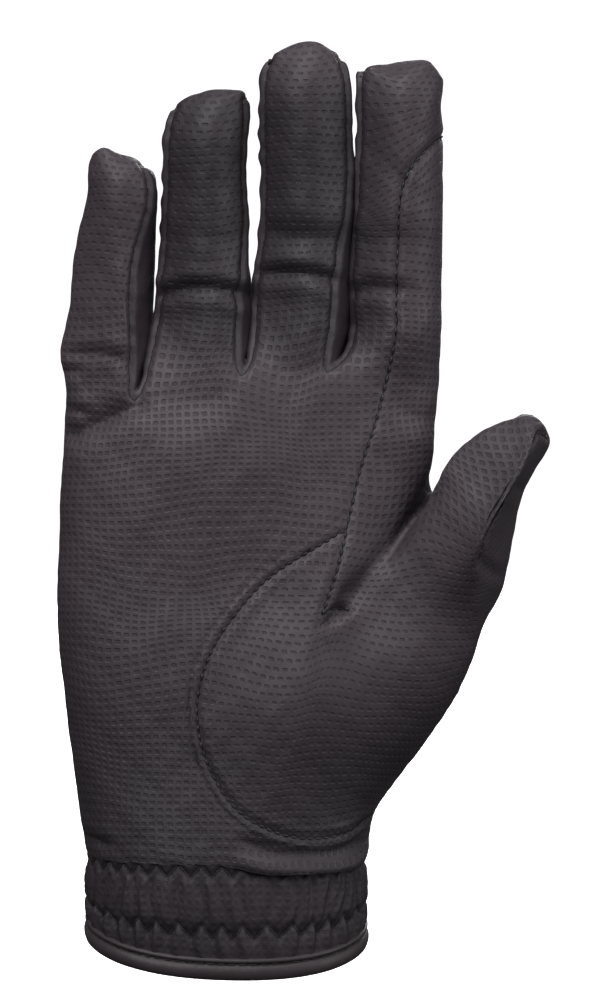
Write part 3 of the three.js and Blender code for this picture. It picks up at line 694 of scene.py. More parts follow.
# Soft unevenness of all leather: height, pitch and seed.
UNEVENNESS = [(0.16, 21, 1.3), (0.1, 9, 3.1), (0.05, 4.5, 6.1)]
# Facing sides of two fingers that touch, in millimetres: across, lowest and highest place, and bulge.
TOUCHES = [(31.4, 146, 194, 0.5), (6.9, 142, 159, 0.5), (-17.2, 138, 154, 0.5)]
TOUCH_REACH = 3.4
# Corners of the fingertips, in millimetres: across, up, reach, and how far they are drawn across and up.
TIP_SHAPES = [
    (-29.6, 193.0, 2.6, 0.3, 1.1), (-24.5, 193.0, 2.6, 0, -0.2), (-18.0, 190.5, 3.2, -0.2, -0.6),
    (-34.0, 190.5, 2.4, 0.9, 0.3), (36.0, 214.0, 3.2, -0.3, 1.1), (48.5, 215.0, 3.0, 0.6, 0.9),
    (53.5, 214.0, 2.2, -0.2, -0.8), (5.8, 208.5, 2.5, 0.4, 0.7), (2.5, 211.5, 2.6, 0.2, 0.6),
    (22.0, 219.0, 2.5, 0, 0.4), (73.0, 127.5, 2.6, -0.9, 0.9), (79.0, 125.5, 2.0, -0.3, 0.2),
]
# The palm leather rolls and droops over the gathered wrist, more towards the thumb.
WRIST_ROLL = 0.75
WRIST_FOLD = 1.1
WRIST_DROOP, WRIST_DROOP_REACH = 2.3, 5.5
SCALLOP, SCALLOP_PITCH = 0.12, 5.2


def waves(x, y, z, pitch, seed):
    """A smooth wandering value near -1 to 1, the same each run."""
    k = 2 * math.pi / pitch
    a = np.sin(k * (x + 0.31 * z) + seed) * np.sin(k * (0.83 * z - 0.27 * y) + 1.7 * seed)
    b = np.sin(k * 1.7 * (0.6 * x - 0.8 * z) + 2.3 * seed) * np.sin(k * 1.31 * (y + 0.4 * x) + 0.6 * seed)
    return 0.65 * a + 0.35 * b


def front_creases(places, front_share):
    """How far the creases move each point of the front leather."""
    flat = places[:, [0, 2]]
    move = np.zeros(len(places))
    for knots, depth, width, over, under in CREASES:
        line = curve_points(knots, 6)
        reach = 6 * width
        low, high = line.min(axis=0) - reach, line.max(axis=0) + reach
        near = np.where(((flat > low) & (flat < high)).all(axis=1) & (front_share > 0))[0]
        away, along = line_distance(line, flat[near])
        length = np.linalg.norm(np.diff(line, axis=0), axis=1).sum()
        fade = smooth(4 * along / length + 0.4) * smooth(4 * (length - along) / length + 0.4)
        above = flat[near, 1] > np.interp(flat[near, 0], line[:, 0], line[:, 1])
        side = np.where(above, away, -away)
        shape = over * bell(side - 2.1 * width, 1.5 * width) + under * bell(side + 2.3 * width, 1.7 * width)
        shape -= depth * np.exp(-(away / width) ** 1.4)
        move[near] += fade * shape * front_share[near]
    return move


def hidden_seam(places, first, second):
    """Where two panels meet without a drawn seam: below the thumb dart and in the fold of the thumb web."""
    x, z = places[:, 0], places[:, 2]
    below_dart = (x > DART_END[0] - DART_OVERLAP) & (z < DART_END[1])
    web = (first == "index_side_panel") & (second == "thumb_front_panel") & (x > TONGUE_END)
    return below_dart | web


class Seams:
    """The edges between two panels, and the numbers of the panels on either side."""

    def __init__(self, labels, triangles, names):
        ends = np.concatenate([triangles[:, [0, 1]], triangles[:, [1, 2]], triangles[:, [2, 0]]])
        ends = np.sort(ends, axis=1)
        edges, inverse, uses = np.unique(ends, axis=0, return_inverse=True, return_counts=True)
        owner = np.tile(labels, 3)
        low = np.full(len(edges), len(names))
        high = np.full(len(edges), -1)
        np.minimum.at(low, inverse.ravel(), owner)
        np.maximum.at(high, inverse.ravel(), owner)
        drawn = (low != high) & (uses == 2)
        self.edges, self.low, self.high = edges[drawn], low[drawn], high[drawn]
        self.names = names

    def between(self, first, second):
        low, high = sorted((self.names.index(first), self.names.index(second)))
        return self.edges[(self.low == low) & (self.high == high)]


def seam_distance(values, seams):
    """Distance of each point to the nearest drawn seam."""
    spots = []
    for first, second in combinations(seams.names, 2):
        own = np.unique(seams.between(first, second))
        spots.append(values[own[~hidden_seam(values[own], first, second)], :3])
    tree = surface_tree(np.concatenate(spots))
    return np.array([tree.find(place)[2] for place in values[:, :3]])


def soften_corner(values, seams):
    """Rounds the seam of the index panel where it turns across the fingertip, with the leather beside it."""
    own = seams.between("index_side_panel", "palm_panel")
    corner = np.array(INDEX_CORNER)
    near = np.linalg.norm(values[own[:, 0]][:, [0, 2]] - corner, axis=1) < CORNER_LENGTH
    own = own[near & (values[own[:, 0], 1] < -2)]
    used, local = np.unique(own, return_inverse=True)
    local = local.reshape(-1, 2)
    spots = values[used, :3].copy()
    ends = np.bincount(local.ravel(), minlength=len(used)) < 2
    for _ in range(CORNER_ROUNDS):
        total = np.zeros_like(spots)
        np.add.at(total, local[:, 0], spots[local[:, 1]])
        np.add.at(total, local[:, 1], spots[local[:, 0]])
        moved = 0.5 * spots + 0.25 * total
        moved[ends] = spots[ends]
        spots = moved
    shift = spots - values[used, :3]
    tree = surface_tree(values[used, :3])
    for i in np.where(np.linalg.norm(values[:, [0, 2]] - corner, axis=1) < CORNER_AREA)[0]:
        _, nearest, away = tree.find(values[i, :3])
        values[i, [0, 2]] += shift[nearest][[0, 2]] * bell(away, CORNER_FADE)
    return values


def lift_tips(places):
    """Draws the fingertips out to their stitched corners."""
    flat = places[:, [0, 2]]
    for across, up, reach, move_across, move_up in TIP_SHAPES:
        near = bell(np.hypot(flat[:, 0] - across, flat[:, 1] - up), reach)
        places[:, 0] += move_across * near
        places[:, 2] += move_up * near
    return places


def shape_leather(values, normals, away, field, on_palm):
    """Moves the surface to its creases, seams and puckers. Gives the moved places."""
    x, y, z = values[:, 0], values[:, 1], values[:, 2]
    front_share = smooth(-normals[:, 1] * 1.4 + 0.15)
    move = front_creases(values, front_share)
    move -= SEAM_GROOVE * bell(away, SEAM_GROOVE_WIDTH)
    move += SEAM_LIP * bell(away - SEAM_LIP_PLACE, SEAM_LIP_WIDTH)

    outside = front_share * smooth((z - WRIST_Z - 0.8) / 6) * (x < INDEX_CORNER[0]) * (on_palm > 0.5)
    move -= TOPSTITCH_GROOVE * outside * bell(field + TOPSTITCH_SIDE, TOPSTITCH_GROOVE_WIDTH)
    move += TOPSTITCH_LIP * outside * bell(field + 0.6 * TOPSTITCH_SIDE, TOPSTITCH_LIP_WIDTH)

    phase = 2 * math.pi * (z + 0.35 * x) / PUCKER_PITCH + 1.1 * waves(x, y, z, 19, 2.0)
    move += PUCKER * np.sin(phase) * np.exp(-away / PUCKER_REACH) * (0.6 + 0.4 * waves(x, y, z, 27, 5.0))
    side = (1 - front_share) * smooth(-normals[:, 0] * 1.5) * smooth((z - RIPPLE_START) / 8) * smooth(x + 18)
    phase = 2 * math.pi * z / RIPPLE_PITCH + 3 * waves(x, y, z, 43, 4.0)
    move += RIPPLE * side * np.exp(-away / RIPPLE_REACH) * np.sin(phase)
    for height, pitch, seed in UNEVENNESS:
        move += height * waves(x, y, z, pitch, seed)
    for across, low, high, bulge in TOUCHES:
        facing = smooth(np.abs(normals[:, 0]) * 1.3) * bell(x - across, TOUCH_REACH)
        move += bulge * facing * smooth((z - low) / 3) * smooth((high - z) / 5)

    height = z - WRIST_Z
    droop = smooth((x + 3) / 15) * front_share
    move += WRIST_ROLL * (0.15 + 1.2 * droop) * bell(height - 2.0, 1.7)
    move += WRIST_FOLD * droop * bell(height, 2.4)
    places = values[:, :3] + normals * move[:, None]
    scallop = SCALLOP * np.sin(2 * math.pi * x / SCALLOP_PITCH) * (1 - droop)
    places[:, 2] -= (WRIST_DROOP * droop + scallop) * bell(height, WRIST_DROOP_REACH)
    return lift_tips(places)


# Edges sharper than these angles are shaded as edges: on leather and bands, and on threads.
LEATHER_EDGE = math.radians(50)
THREAD_EDGE = math.radians(80)


def mesh_object(name, places, polygons, uv, attributes, edge_angle=LEATHER_EDGE):
    """A smooth mesh at the origin from places in millimetres and polygons with their point numbers."""
    if isinstance(polygons, np.ndarray):
        sizes = np.full(len(polygons), polygons.shape[1])
        flat = polygons.ravel()
    else:
        sizes = np.array([len(polygon) for polygon in polygons])
        flat = np.concatenate([np.asarray(polygon) for polygon in polygons])
    mesh = bpy.data.meshes.new(name)
    mesh.vertices.add(len(places))
    mesh.vertices.foreach_set("co", (places * MM).astype(np.float32).ravel())
    mesh.loops.add(len(flat))
    mesh.loops.foreach_set("vertex_index", flat.astype(np.int32))
    mesh.polygons.add(len(sizes))
    starts = np.concatenate([[0], np.cumsum(sizes)[:-1]])
    mesh.polygons.foreach_set("loop_start", starts.astype(np.int32))
    mesh.update(calc_edges=True)
    if uv is not None:
        layer = mesh.uv_layers.new(name="flat_mm")
        layer.data.foreach_set("uv", uv[flat].astype(np.float32).ravel())
    for key, data in attributes.items():
        layer = mesh.attributes.new(key, "FLOAT", "POINT")
        layer.data.foreach_set("value", data.astype(np.float32))
    mesh.polygons.foreach_set("use_smooth", np.ones(len(sizes), bool))
    mesh.set_sharp_from_angle(angle=edge_angle)
    mesh.validate()
    piece = bpy.data.objects.new(name, mesh)
    bpy.context.collection.objects.link(piece)
    return piece


def leather_panel(name, places, normals, triangles, uv, attributes):
    """A wall of leather: its outer face, its inner face and its edges, set back from the seams."""
    used, local = np.unique(triangles, return_inverse=True)
    local = local.reshape(-1, 3)
    count = len(used)
    outer = places[used].copy()
    directed = np.concatenate([local[:, [0, 1, 2]], local[:, [1, 2, 0]], local[:, [2, 0, 1]]])
    keys = directed[:, 0] * count + directed[:, 1]
    reverse = directed[:, 1] * count + directed[:, 0]
    rim = directed[~np.isin(keys, reverse)]
    along = unit(outer[rim[:, 1]] - outer[rim[:, 0]])
    away = outer[rim[:, 2]] - outer[rim[:, 0]]
    away = unit(away - (away * along).sum(axis=1, keepdims=True) * along)
    shift = np.zeros_like(outer)
    np.add.at(shift, rim[:, 0], away)
    np.add.at(shift, rim[:, 1], away)
    edge = np.unique(rim[:, :2])
    edge = edge[attributes["seam_mm"][used][edge] < 0.5]
    outer[edge] += unit(shift[edge]) * SEAM_GAP / 2
    inner = outer - normals[used] * WALL
    a, b = rim[:, 0], rim[:, 1]
    walls = [np.stack([b, a, a + count], axis=1), np.stack([b, a + count, b + count], axis=1)]
    every = np.concatenate([local, local[:, [0, 2, 1]] + count, *walls])
    both = {key: np.tile(data[used], 2) for key, data in attributes.items()}
    return mesh_object(name, np.vstack([outer, inner]), every, np.tile(uv[used], (2, 1)), both)


def build_glove():
    """The leather panels by node name, with the surface that they were cut from and its seams."""
    build_cage()
    quads = np.array(faces)
    wanted = np.array(points)
    rule = limit_rule(len(points), quads)
    fitted = wanted.copy()
    for _ in range(FIT_ROUNDS):
        fitted += wanted - rule @ fitted
    values = np.hstack([fitted, np.array(maps)])
    names = sorted(set(panels))
    labels = np.array([names.index(panel) for panel in panels])
    for _ in range(LEVELS):
        values, quads = subdivide(values, quads)
        labels = np.repeat(labels, 4)
    triangles = fan_triangles(quads)
    labels = np.tile(labels, 2)
    front, thumb, palm = (names.index(name) for name in ("front", "thumb_front_panel", "palm_panel"))
    values, inner, outer = cut_along_seam(values, triangles, labels == front)
    rest = labels != front
    every = np.concatenate([triangles[rest], inner, outer])
    labels = np.concatenate([labels[rest], np.full(len(inner), thumb), np.full(len(outer), palm)])
    seams = Seams(labels, every, names)
    values = soften_corner(values, seams)
    normals = point_normals(values[:, :3], every)
    away = seam_distance(values, seams)
    field = thenar_field(values[:, [0, 2]])
    on_palm = np.zeros(len(values))
    on_palm[every[labels == palm].ravel()] = 1.0
    places = shape_leather(values, normals, away, field, on_palm)
    normals = point_normals(places, every)
    pieces = {}
    for name in names:
        if name == "front":
            continue
        own = every[labels == names.index(name)]
        uv = values[:, 5:7] if name in ("back_panel", "thumb_back_panel") else values[:, 3:5]
        attributes = {"seam_mm": away, "thenar_mm": field}
        pieces[name] = leather_panel(name + "_leather", places, normals, own, uv, attributes)
    return pieces, places, normals, seams


# The gathered wrist: how far it stands off at shares of its height, the place and height of its two zigzag
# rows as shares, their groove in millimetres, and the steps of its mesh.
CUFF_PROFILE = [
    (0, 0.1), (0.1, -0.1), (0.22, 0.1), (0.4, 0.45), (0.55, 0.45), (0.7, 0.0), (0.85, 0.15), (1, -0.15),
]
ZIGZAG_ROWS = [(0.07, 0.13), (0.69, 0.14)]
ZIGZAG_GROOVE = 0.62
ZIGZAG_GROOVE_WIDTH = 0.6 / 14
CUFF_TOP = WRIST_Z - 0.03
CUFF_LENGTH = CUFF_HEIGHT + 0.25
CUFF_STEPS = 20
CUFF_FINE_ROWS = 64
CUFF_INNER_ROWS = 8
# How steeply the hem's dip grows towards the middle of the front.
DIP_POWER = 1.45


def wrist_place(turn, out, z, bow):
    """A place beside the wrist outline. The turn begins on the thumb side and runs over the back."""
    _, _, _, left, right, front, back, _, _ = BODY_ROWS[0]
    power = 2 / SECTION_POWER
    across = np.sign(np.cos(turn)) * np.abs(np.cos(turn)) ** power
    depth = np.sign(np.sin(turn)) * np.abs(np.sin(turn)) ** power
    half_depth = np.where(depth < 0, front, back) * PALM_DEPTH + out
    x = (right - left) / 2 * PALM_WIDTH + across * ((left + right) / 2 * PALM_WIDTH + out)
    dip = bow * (HEM_BOW * np.maximum(0, -depth) ** DIP_POWER + HEM_TILT * across)
    return np.stack([x, depth * half_depth, z - dip], axis=-1)


def round_wrist():
    """Shares of the way round the wrist, and the turn at each."""
    turn = np.linspace(0, 2 * math.pi, 4001)
    run = np.linalg.norm(np.diff(wrist_place(turn, 0, 0, 0), axis=0), axis=1)
    return np.concatenate([[0], np.cumsum(run) / run.sum()]), turn


def gather_phase(turn):
    """The count of gathers up to a turn, with uneven spacing."""
    share, at = round_wrist()
    way = np.interp(turn, at, share)
    uneven = 0.14 * np.sin(6 * math.pi * way + 1) + 0.1 * np.sin(16 * math.pi * way)
    return GATHERS * way + uneven


def turns_round(count):
    """Turns at even steps round the wrist."""
    share, at = round_wrist()
    return np.interp(np.arange(count) / count, share, at)


def zigzag_level(turn, level, height):
    peak = np.abs(2 * (gather_phase(turn) % 1) - 1)
    return level + height * (0.5 - peak)


def cuff_out(turn, down):
    """How far the gathered wrist stands off the wrist outline."""
    rows = np.array(CUFF_PROFILE)
    phase = gather_phase(turn)
    out = np.interp(down, rows[:, 0], rows[:, 1])
    # Even ridges below the lower zigzag.
    ridge = (0.5 + 0.5 * np.cos(2 * math.pi * phase + 0.5 * np.sin(7 * turn + 9 * down))) ** 1.9
    below = smooth((down - 0.6) / 0.12) * (1 - 0.5 * smooth((down - 0.8) / 0.2))
    # Crumpled folds between the two zigzags.
    between = smooth((down - 0.1) / 0.12) * (1 - smooth((down - 0.56) / 0.12))
    wander = 0.9 * np.sin(3 * turn + 5 * down) + 0.6 * np.sin(11 * turn - 6 * down + 1)
    crumple = np.abs(np.sin(math.pi * phase + 0.5 * wander)) - 0.55
    fine = np.sin(2 * math.pi * 1.73 * phase + 9 * down + 2 * wander)
    # Small lumps all over.
    lumps = np.sin(71 * turn + 17 * down) * np.sin(43 * down + 29 * turn)
    lumps = lumps + 0.7 * np.sin(131 * turn - 37 * down)
    out = out + (ridge - 0.36) * below + between * (0.62 * crumple + 0.16 * fine)
    out = out + 0.035 * lumps * smooth(down / 0.1)
    for level, height in ZIGZAG_ROWS:
        out = out - ZIGZAG_GROOVE * bell(down - zigzag_level(turn, level, height), ZIGZAG_GROOVE_WIDTH)
    return out


def cuff_place(turn, down, lift):
    return wrist_place(turn, cuff_out(turn, down) + lift, CUFF_TOP - down * CUFF_LENGTH, down)


# The length of the flat map round the wrist in millimetres, and a seam distance that marks no seam.
BAND_LENGTH = 190.0
NO_SEAM = 9.0


def band(name, rows):
    """A closed band from rings of places, joined to each other and the last to the first."""
    count, steps = len(rows), len(rows[0])
    places = np.concatenate(rows)
    grid = np.arange(count * steps).reshape(count, steps)
    below = np.roll(grid, -1, axis=0)
    corners = [grid, below, np.roll(below, -1, axis=1), np.roll(grid, -1, axis=1)]
    quads = np.stack(corners, axis=2).reshape(-1, 4)
    turn = np.tile(np.arange(steps) / steps, count)
    uv = np.stack([turn * BAND_LENGTH, places[:, 2]], axis=1)
    return mesh_object(name, places, quads, uv, {"seam_mm": np.full(len(places), NO_SEAM)})


def build_cuff():
    turn = turns_round(GATHERS * CUFF_STEPS)
    outside = [cuff_place(turn, down, 0) for down in np.linspace(0, 1, CUFF_FINE_ROWS + 1)]
    inside = [cuff_place(turn, down, -WALL) for down in np.linspace(1, 0, CUFF_INNER_ROWS + 1)]
    return band("wrist_cuff_leather", outside + inside)


# The binding's section: share of its breadth down, and how far it stands off, from the lip over the stitched
# groove and the roll to its inner face. Then its top edge, breadth and the groove's place.
HEM_PROFILE = [
    (0.0, -0.2), (0.02, 0.25), (0.06, 0.55), (0.12, 0.68), (0.18, 0.62), (0.23, 0.3), (0.27, 0.0),
    (0.31, 0.12), (0.37, 0.5), (0.47, 0.8), (0.6, 0.95), (0.76, 0.9), (0.9, 0.65), (0.98, 0.2),
    (1.0, -0.3), (1.0, -1.2), (0.96, -1.7), (0.5, -2.0), (0.04, -1.7), (0.0, -1.1),
]
HEM_TOP = 5.0
HEM_BREADTH = 5.5
HEM_GROOVE = 0.27
HEM_STEPS = 720


def hem_level(down):
    return HEM_TOP - HEM_BREADTH * down


def build_hem():
    turn = turns_round(HEM_STEPS)
    wander = 0.1 * np.sin(5 * turn + 1) + 0.06 * np.sin(13 * turn)
    rows = []
    for down, out in HEM_PROFILE:
        pucker = 0.07 * np.sin(turn * 170) * bell(down - HEM_GROOVE, 0.12)
        uneven = pucker + wander if out > 0 else 0
        rows.append(wrist_place(turn, out + uneven, hem_level(down) + 0.25 * wander, 1))
    return band("hem_binding_leather", rows)


def hem_stitches(pitch, length, lift, radius):
    """Short threads that lie in the groove of the binding."""
    line = wrist_place(turns_round(4000), lift, hem_level(HEM_GROOVE), 1)
    return seam_stitches(line, np.zeros_like(line), pitch, length, 0.0, radius)


def tube(path, radius, sides=6):
    """Places and faces of a closed round tube along a path, narrower at its ends."""
    step = unit(np.gradient(path, axis=0))
    side = unit(np.cross(step, np.array([0.31, 0.87, 0.23])))
    other = np.cross(step, side)
    angle = np.arange(sides) * 2 * math.pi / sides
    ring = side[:, None, :] * np.cos(angle)[:, None] + other[:, None, :] * np.sin(angle)[:, None]
    thick = np.full(len(path), radius)
    thick[[0, -1]] *= 0.55
    places = (path[:, None, :] + ring * thick[:, None, None]).reshape(-1, 3)
    grid = np.arange(len(path) * sides).reshape(len(path), sides)
    after = np.roll(grid, -1, axis=1)
    quads = np.stack([grid[:-1], after[:-1], after[1:], grid[1:]], axis=2).reshape(-1, 4)
    return places, [*map(list, quads), list(grid[0][::-1]), list(grid[-1])]


def joined(name, parts):
    """One mesh from many small ones."""
    places, polygons, base = [], [], 0
    for part_places, part_faces in parts:
        places.append(part_places)
        polygons += [[i + base for i in face] for face in part_faces]
        base += len(part_places)
    return mesh_object(name, np.vstack(places), polygons, None, {}, THREAD_EDGE)


def surface_tree(places):
    tree = kdtree.KDTree(len(places))
    for i, place in enumerate(places):
        tree.insert(place, i)
    tree.balance()
    return tree


def seam_chains(edges):
    """The runs of points that a set of edges forms, each in order from one end to the other."""
    links = {}
    for a, b in edges.tolist():
        links.setdefault(a, []).append(b)
        links.setdefault(b, []).append(a)
    chains, seen = [], set()
    for start in [i for i, near in links.items() if len(near) == 1]:
        if start in seen:
            continue
        chain, ahead = [], [start]
        while ahead:
            chain.append(ahead[0])
            seen.add(ahead[0])
            ahead = [i for i in links[ahead[0]] if i not in seen]
        chains.append(np.array(chain))
    return chains


# How far a seam's stitches begin from its end, and how deep their ends sink in, in millimetres.
STITCH_START = 0.6
STITCH_SINK = 0.25


def seam_stitches(line, out, pitch, length, lift, radius):
    """Short threads along a line on the leather, each with its ends in the seam."""
    run = np.concatenate([[0], np.cumsum(np.linalg.norm(np.diff(line, axis=0), axis=1))])
    height = lift - STITCH_SINK * np.array([1, 0, 0, 1])
    parts = []
    for start in np.arange(STITCH_START, run[-1] - length, pitch):
        at = np.linspace(start, start + length, 4)
        spot = np.stack([np.interp(at, run, line[:, k]) for k in range(3)], axis=1)
        way = np.stack([np.interp(at, run, out[:, k]) for k in range(3)], axis=1)
        parts.append(tube(spot + unit(way) * height[:, None], radius))
    return parts


def zigzag(level, height, lift, radius):
    """A zigzag thread round the cuff, as a short tube for each stroke."""
    parts = []
    fine = turns_round(40 * GATHERS)
    half_turn = np.floor(2 * gather_phase(fine))
    for stroke in np.unique(half_turn):
        turn = fine[half_turn == stroke]
        if len(turn) >= 8:
            turn = turn[np.linspace(1, len(turn) - 2, 6).astype(int)]
            parts.append(tube(cuff_place(turn, zigzag_level(turn, level, height), lift), radius))
    return parts


class Nodes:
    """Short calls for making a node material."""

    def __init__(self, name):
        self.material = bpy.data.materials.new(name)
        self.material.use_nodes = True
        self.tree = self.material.node_tree
        self.tree.nodes.clear()
        self.shader = self.tree.nodes.new("ShaderNodeBsdfPrincipled")
        output = self.tree.nodes.new("ShaderNodeOutputMaterial")
        self.tree.links.new(self.shader.outputs[0], output.inputs[0])

    def put(self, socket, value):
        if isinstance(value, bpy.types.NodeSocket):
            self.tree.links.new(value, socket)
        else:
            socket.default_value = value

    def node(self, kind, inputs=None, output=0, **settings):
        made = self.tree.nodes.new(kind)
        for key, value in settings.items():
            setattr(made, key, value)
        for key, value in (inputs or {}).items():
            self.put(made.inputs[key], value)
        return made.outputs[output]

    def math(self, operation, a, b=0.0):
        return self.node("ShaderNodeMath", {0: a, 1: b}, operation=operation)

    def times(self, *factors):
        product = factors[0]
        for factor in factors[1:]:
            product = self.math("MULTIPLY", product, factor)
        return product

    def vector(self, operation, a, b=(0, 0, 0)):
        return self.node("ShaderNodeVectorMath", {0: a, 1: b}, operation=operation)

    def scale(self, vector, factor):
        return self.node("ShaderNodeVectorMath", {0: vector, "Scale": factor}, operation="SCALE")

    def ramp(self, value, low, high, to_low=0.0, to_high=1.0):
        return self.node("ShaderNodeMapRange", {"Value": value, 1: low, 2: high, 3: to_low, 4: to_high},
                         interpolation_type="SMOOTHSTEP")

    def noise(self, vector, scale, detail=2.0, output=0):
        inputs = {"Vector": vector, "Scale": scale, "Detail": detail}
        return self.node("ShaderNodeTexNoise", inputs, output=output)

    def attribute(self, name):
        return self.node("ShaderNodeAttribute", output=2, attribute_name=name)

    def grain(self, place, scale, detail, pore_scale, share):
        """Fine grain mixed with pores, from about 0 to 1."""
        grain = self.noise(place, scale, detail)
        pores = self.node("ShaderNodeTexVoronoi", {"Vector": place, "Scale": pore_scale})
        return self.math("ADD", self.times(grain, share), self.times(pores, 1 - share))

    def bump(self, height, distance, strength=1.0, normal=None):
        inputs = {"Height": height, "Distance": distance, "Strength": strength}
        if normal is not None:
            inputs["Normal"] = normal
        return self.node("ShaderNodeBump", inputs)

    def mix(self, factor, a, b):
        made = self.tree.nodes.new("ShaderNodeMix")
        made.data_type = "RGBA"
        self.put(made.inputs[0], factor)
        self.put(made.inputs[6], a)
        self.put(made.inputs[7], b)
        return made.outputs[2]

    def separate(self, vector):
        made = self.tree.nodes.new("ShaderNodeSeparateXYZ")
        self.put(made.inputs[0], vector)
        return made.outputs


# The embossed pits: pitch in millimetres, half size as a share of it, how far and how fast their rows wander,
# and on stretched leather how much flatter they are.
PIT_PITCH = (2.02, 1.84)
PIT_HALF = (0.3, 0.28)
PIT_WANDER, PIT_WANDER_SCALE = 7.0, 0.035
PIT_STRETCH = (1.1, 1.5)


def painted_light_and_shade(n, across, up):
    """Painted light and shade in the leather's colour: lighter up the hand, darker at the wrist, on the bent
    middle fingers and at the tip of the thumb.
    """
    hand = n.ramp(up, 0.03, 0.12, 0.6, 1.24)
    fingers = n.ramp(up, 0.15, 0.18, 1.0, 0.9)
    middle = n.times(n.ramp(across, -0.024, -0.01), n.ramp(across, 0.046, 0.03))
    bend = n.times(n.ramp(up, 0.136, 0.152), n.ramp(up, 0.224, 0.196))
    middle_fingers = n.ramp(n.times(middle, bend), 0.0, 1.0, 1.0, 0.5)
    thumb = n.ramp(across, 0.052, 0.066, 1.0, 0.75)
    return n.times(hand, fingers, n.times(middle_fingers, thumb))


def pit_mask(n, place, up):
    """1 in the embossed pits and 0 between them. On stretched leather their rows are staggered."""
    uv = n.node("ShaderNodeUVMap", uv_map="flat_mm")
    wander = n.vector("SUBTRACT", n.noise(n.scale(uv, PIT_WANDER_SCALE), 1.0, 1.0, output=1), (0.5, 0.5, 0.5))
    uv = n.vector("ADD", uv, n.scale(wander, PIT_WANDER))
    stretched = n.math("MAXIMUM", n.ramp(n.attribute("thenar_mm"), 0.0, 8.0), n.ramp(up, 0.148, 0.165))
    cell = n.vector("DIVIDE", uv, (*PIT_PITCH, 1.0))
    odd = n.math("FLOORED_MODULO", n.math("FLOOR", n.separate(cell)[1]), 2.0)
    cell = n.vector("ADD", cell, n.node("ShaderNodeCombineXYZ", {0: n.times(odd, 0.5, stretched)}))
    local = n.vector("ABSOLUTE", n.vector("SUBTRACT", n.vector("FRACTION", cell), (0.5, 0.5, 0.5)))
    sides = n.separate(n.vector("DIVIDE", local, (*PIT_HALF, 1.0)))
    x, y = (n.times(side, n.ramp(stretched, 0.0, 1.0, 1.0, flat)) for side, flat in zip(sides, PIT_STRETCH))
    square = n.math("POWER", n.math("ADD", n.math("POWER", x, 4.0), n.math("POWER", y, 4.0)), 0.25)
    ragged = n.times(n.math("SUBTRACT", n.noise(place, 1800.0, 2.0), 0.5), 0.5)
    return n.ramp(n.math("ADD", square, ragged), 1.2, 0.7)


def embossed_leather(name, colour, pit_depth, roughness, specular, pit_painted_shade=0.42):
    """Matte black leather with a grid of small square pits and a fine grain. Its colour is darkened in the
    pits as painted shade, and made lighter and darker by place as painted light and shade.
    """
    n = Nodes(name)
    place = n.node("ShaderNodeTexCoord", output=3)
    across, _, up = n.separate(place)
    seam = n.attribute("seam_mm")
    pit = n.times(pit_mask(n, place, up), n.ramp(seam, 0.3, 1.2))
    dark = (*(c * 0.5 for c in colour), 1)
    light = (*(c * 1.25 for c in colour), 1)
    base = n.mix(n.ramp(n.noise(place, 55.0, 3.0), 0.3, 0.7), (*colour, 1), light)
    # Painted light and shade: the colour is made lighter up the hand and darker where shade falls.
    base = n.scale(base, painted_light_and_shade(n, across, up))
    # Painted shade: the colour darkens in the pits.
    base = n.mix(n.times(pit, pit_painted_shade), base, dark)
    base = n.mix(n.ramp(seam, 0.5, 0.05, 0.0, 0.6), base, dark)
    n.put(n.shader.inputs["Base Color"], base)
    fine = n.grain(place, 2600.0, 3.0, 1500.0, 0.6)
    rough = n.ramp(fine, 0.2, 0.9, roughness - 0.07, roughness + 0.1)
    n.put(n.shader.inputs["Roughness"], n.math("ADD", rough, n.times(pit, 0.12)))
    n.shader.inputs["Specular IOR Level"].default_value = specular
    normal = n.bump(n.times(pit, -1.0), pit_depth * MM)
    n.put(n.shader.inputs["Normal"], n.bump(fine, 0.05 * MM, 1.0, normal))
    return n.material


def smooth_leather(name, colour, roughness, specular, grain_depth=0.05):
    """Fine-grained black leather without pits."""
    n = Nodes(name)
    place = n.node("ShaderNodeTexCoord", output=3)
    light = (*(c * 1.3 for c in colour), 1)
    base = n.mix(n.ramp(n.noise(place, 70.0, 3.0), 0.3, 0.7), (*colour, 1), light)
    n.put(n.shader.inputs["Base Color"], base)
    fine = n.grain(place, 2200.0, 4.0, 1300.0, 0.5)
    n.put(n.shader.inputs["Roughness"], n.ramp(fine, 0.2, 0.9, roughness - 0.06, roughness + 0.1))
    n.shader.inputs["Specular IOR Level"].default_value = specular
    normal = n.bump(n.noise(place, 420.0, 3.0), 0.12 * MM, 0.7)
    n.put(n.shader.inputs["Normal"], n.bump(fine, grain_depth * MM, 1.0, normal))
    return n.material


def thread_material():
    n = Nodes("black_thread")
    place = n.node("ShaderNodeTexCoord", output=3)
    twist = n.node("ShaderNodeTexWave", {"Vector": place, "Scale": 900.0, "Distortion": 1.0})
    n.put(n.shader.inputs["Base Color"], n.mix(twist, (0.008, 0.007, 0.008, 1), (0.02, 0.018, 0.02, 1)))
    n.put(n.shader.inputs["Roughness"], n.ramp(twist, 0, 1, 0.5, 0.7))
    n.put(n.shader.inputs["Normal"], n.bump(twist, 0.06 * MM))
    return n.material


def dress(piece, material, slot, node=None):
    piece.data.materials.append(material)
    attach(piece, "root")
    if node:
        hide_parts(node)


# Camera: the picture is 607 by 1000 pixels of 0.245 mm at the glove.
PICTURE_WIDTH_MM = 607 * 0.245
VIEW_CENTRE = Vector((19.2, 0.0, 108.0)) * MM
CAMERA_DISTANCE = 1.15
CAMERA_ELEVATION = math.radians(4.0)
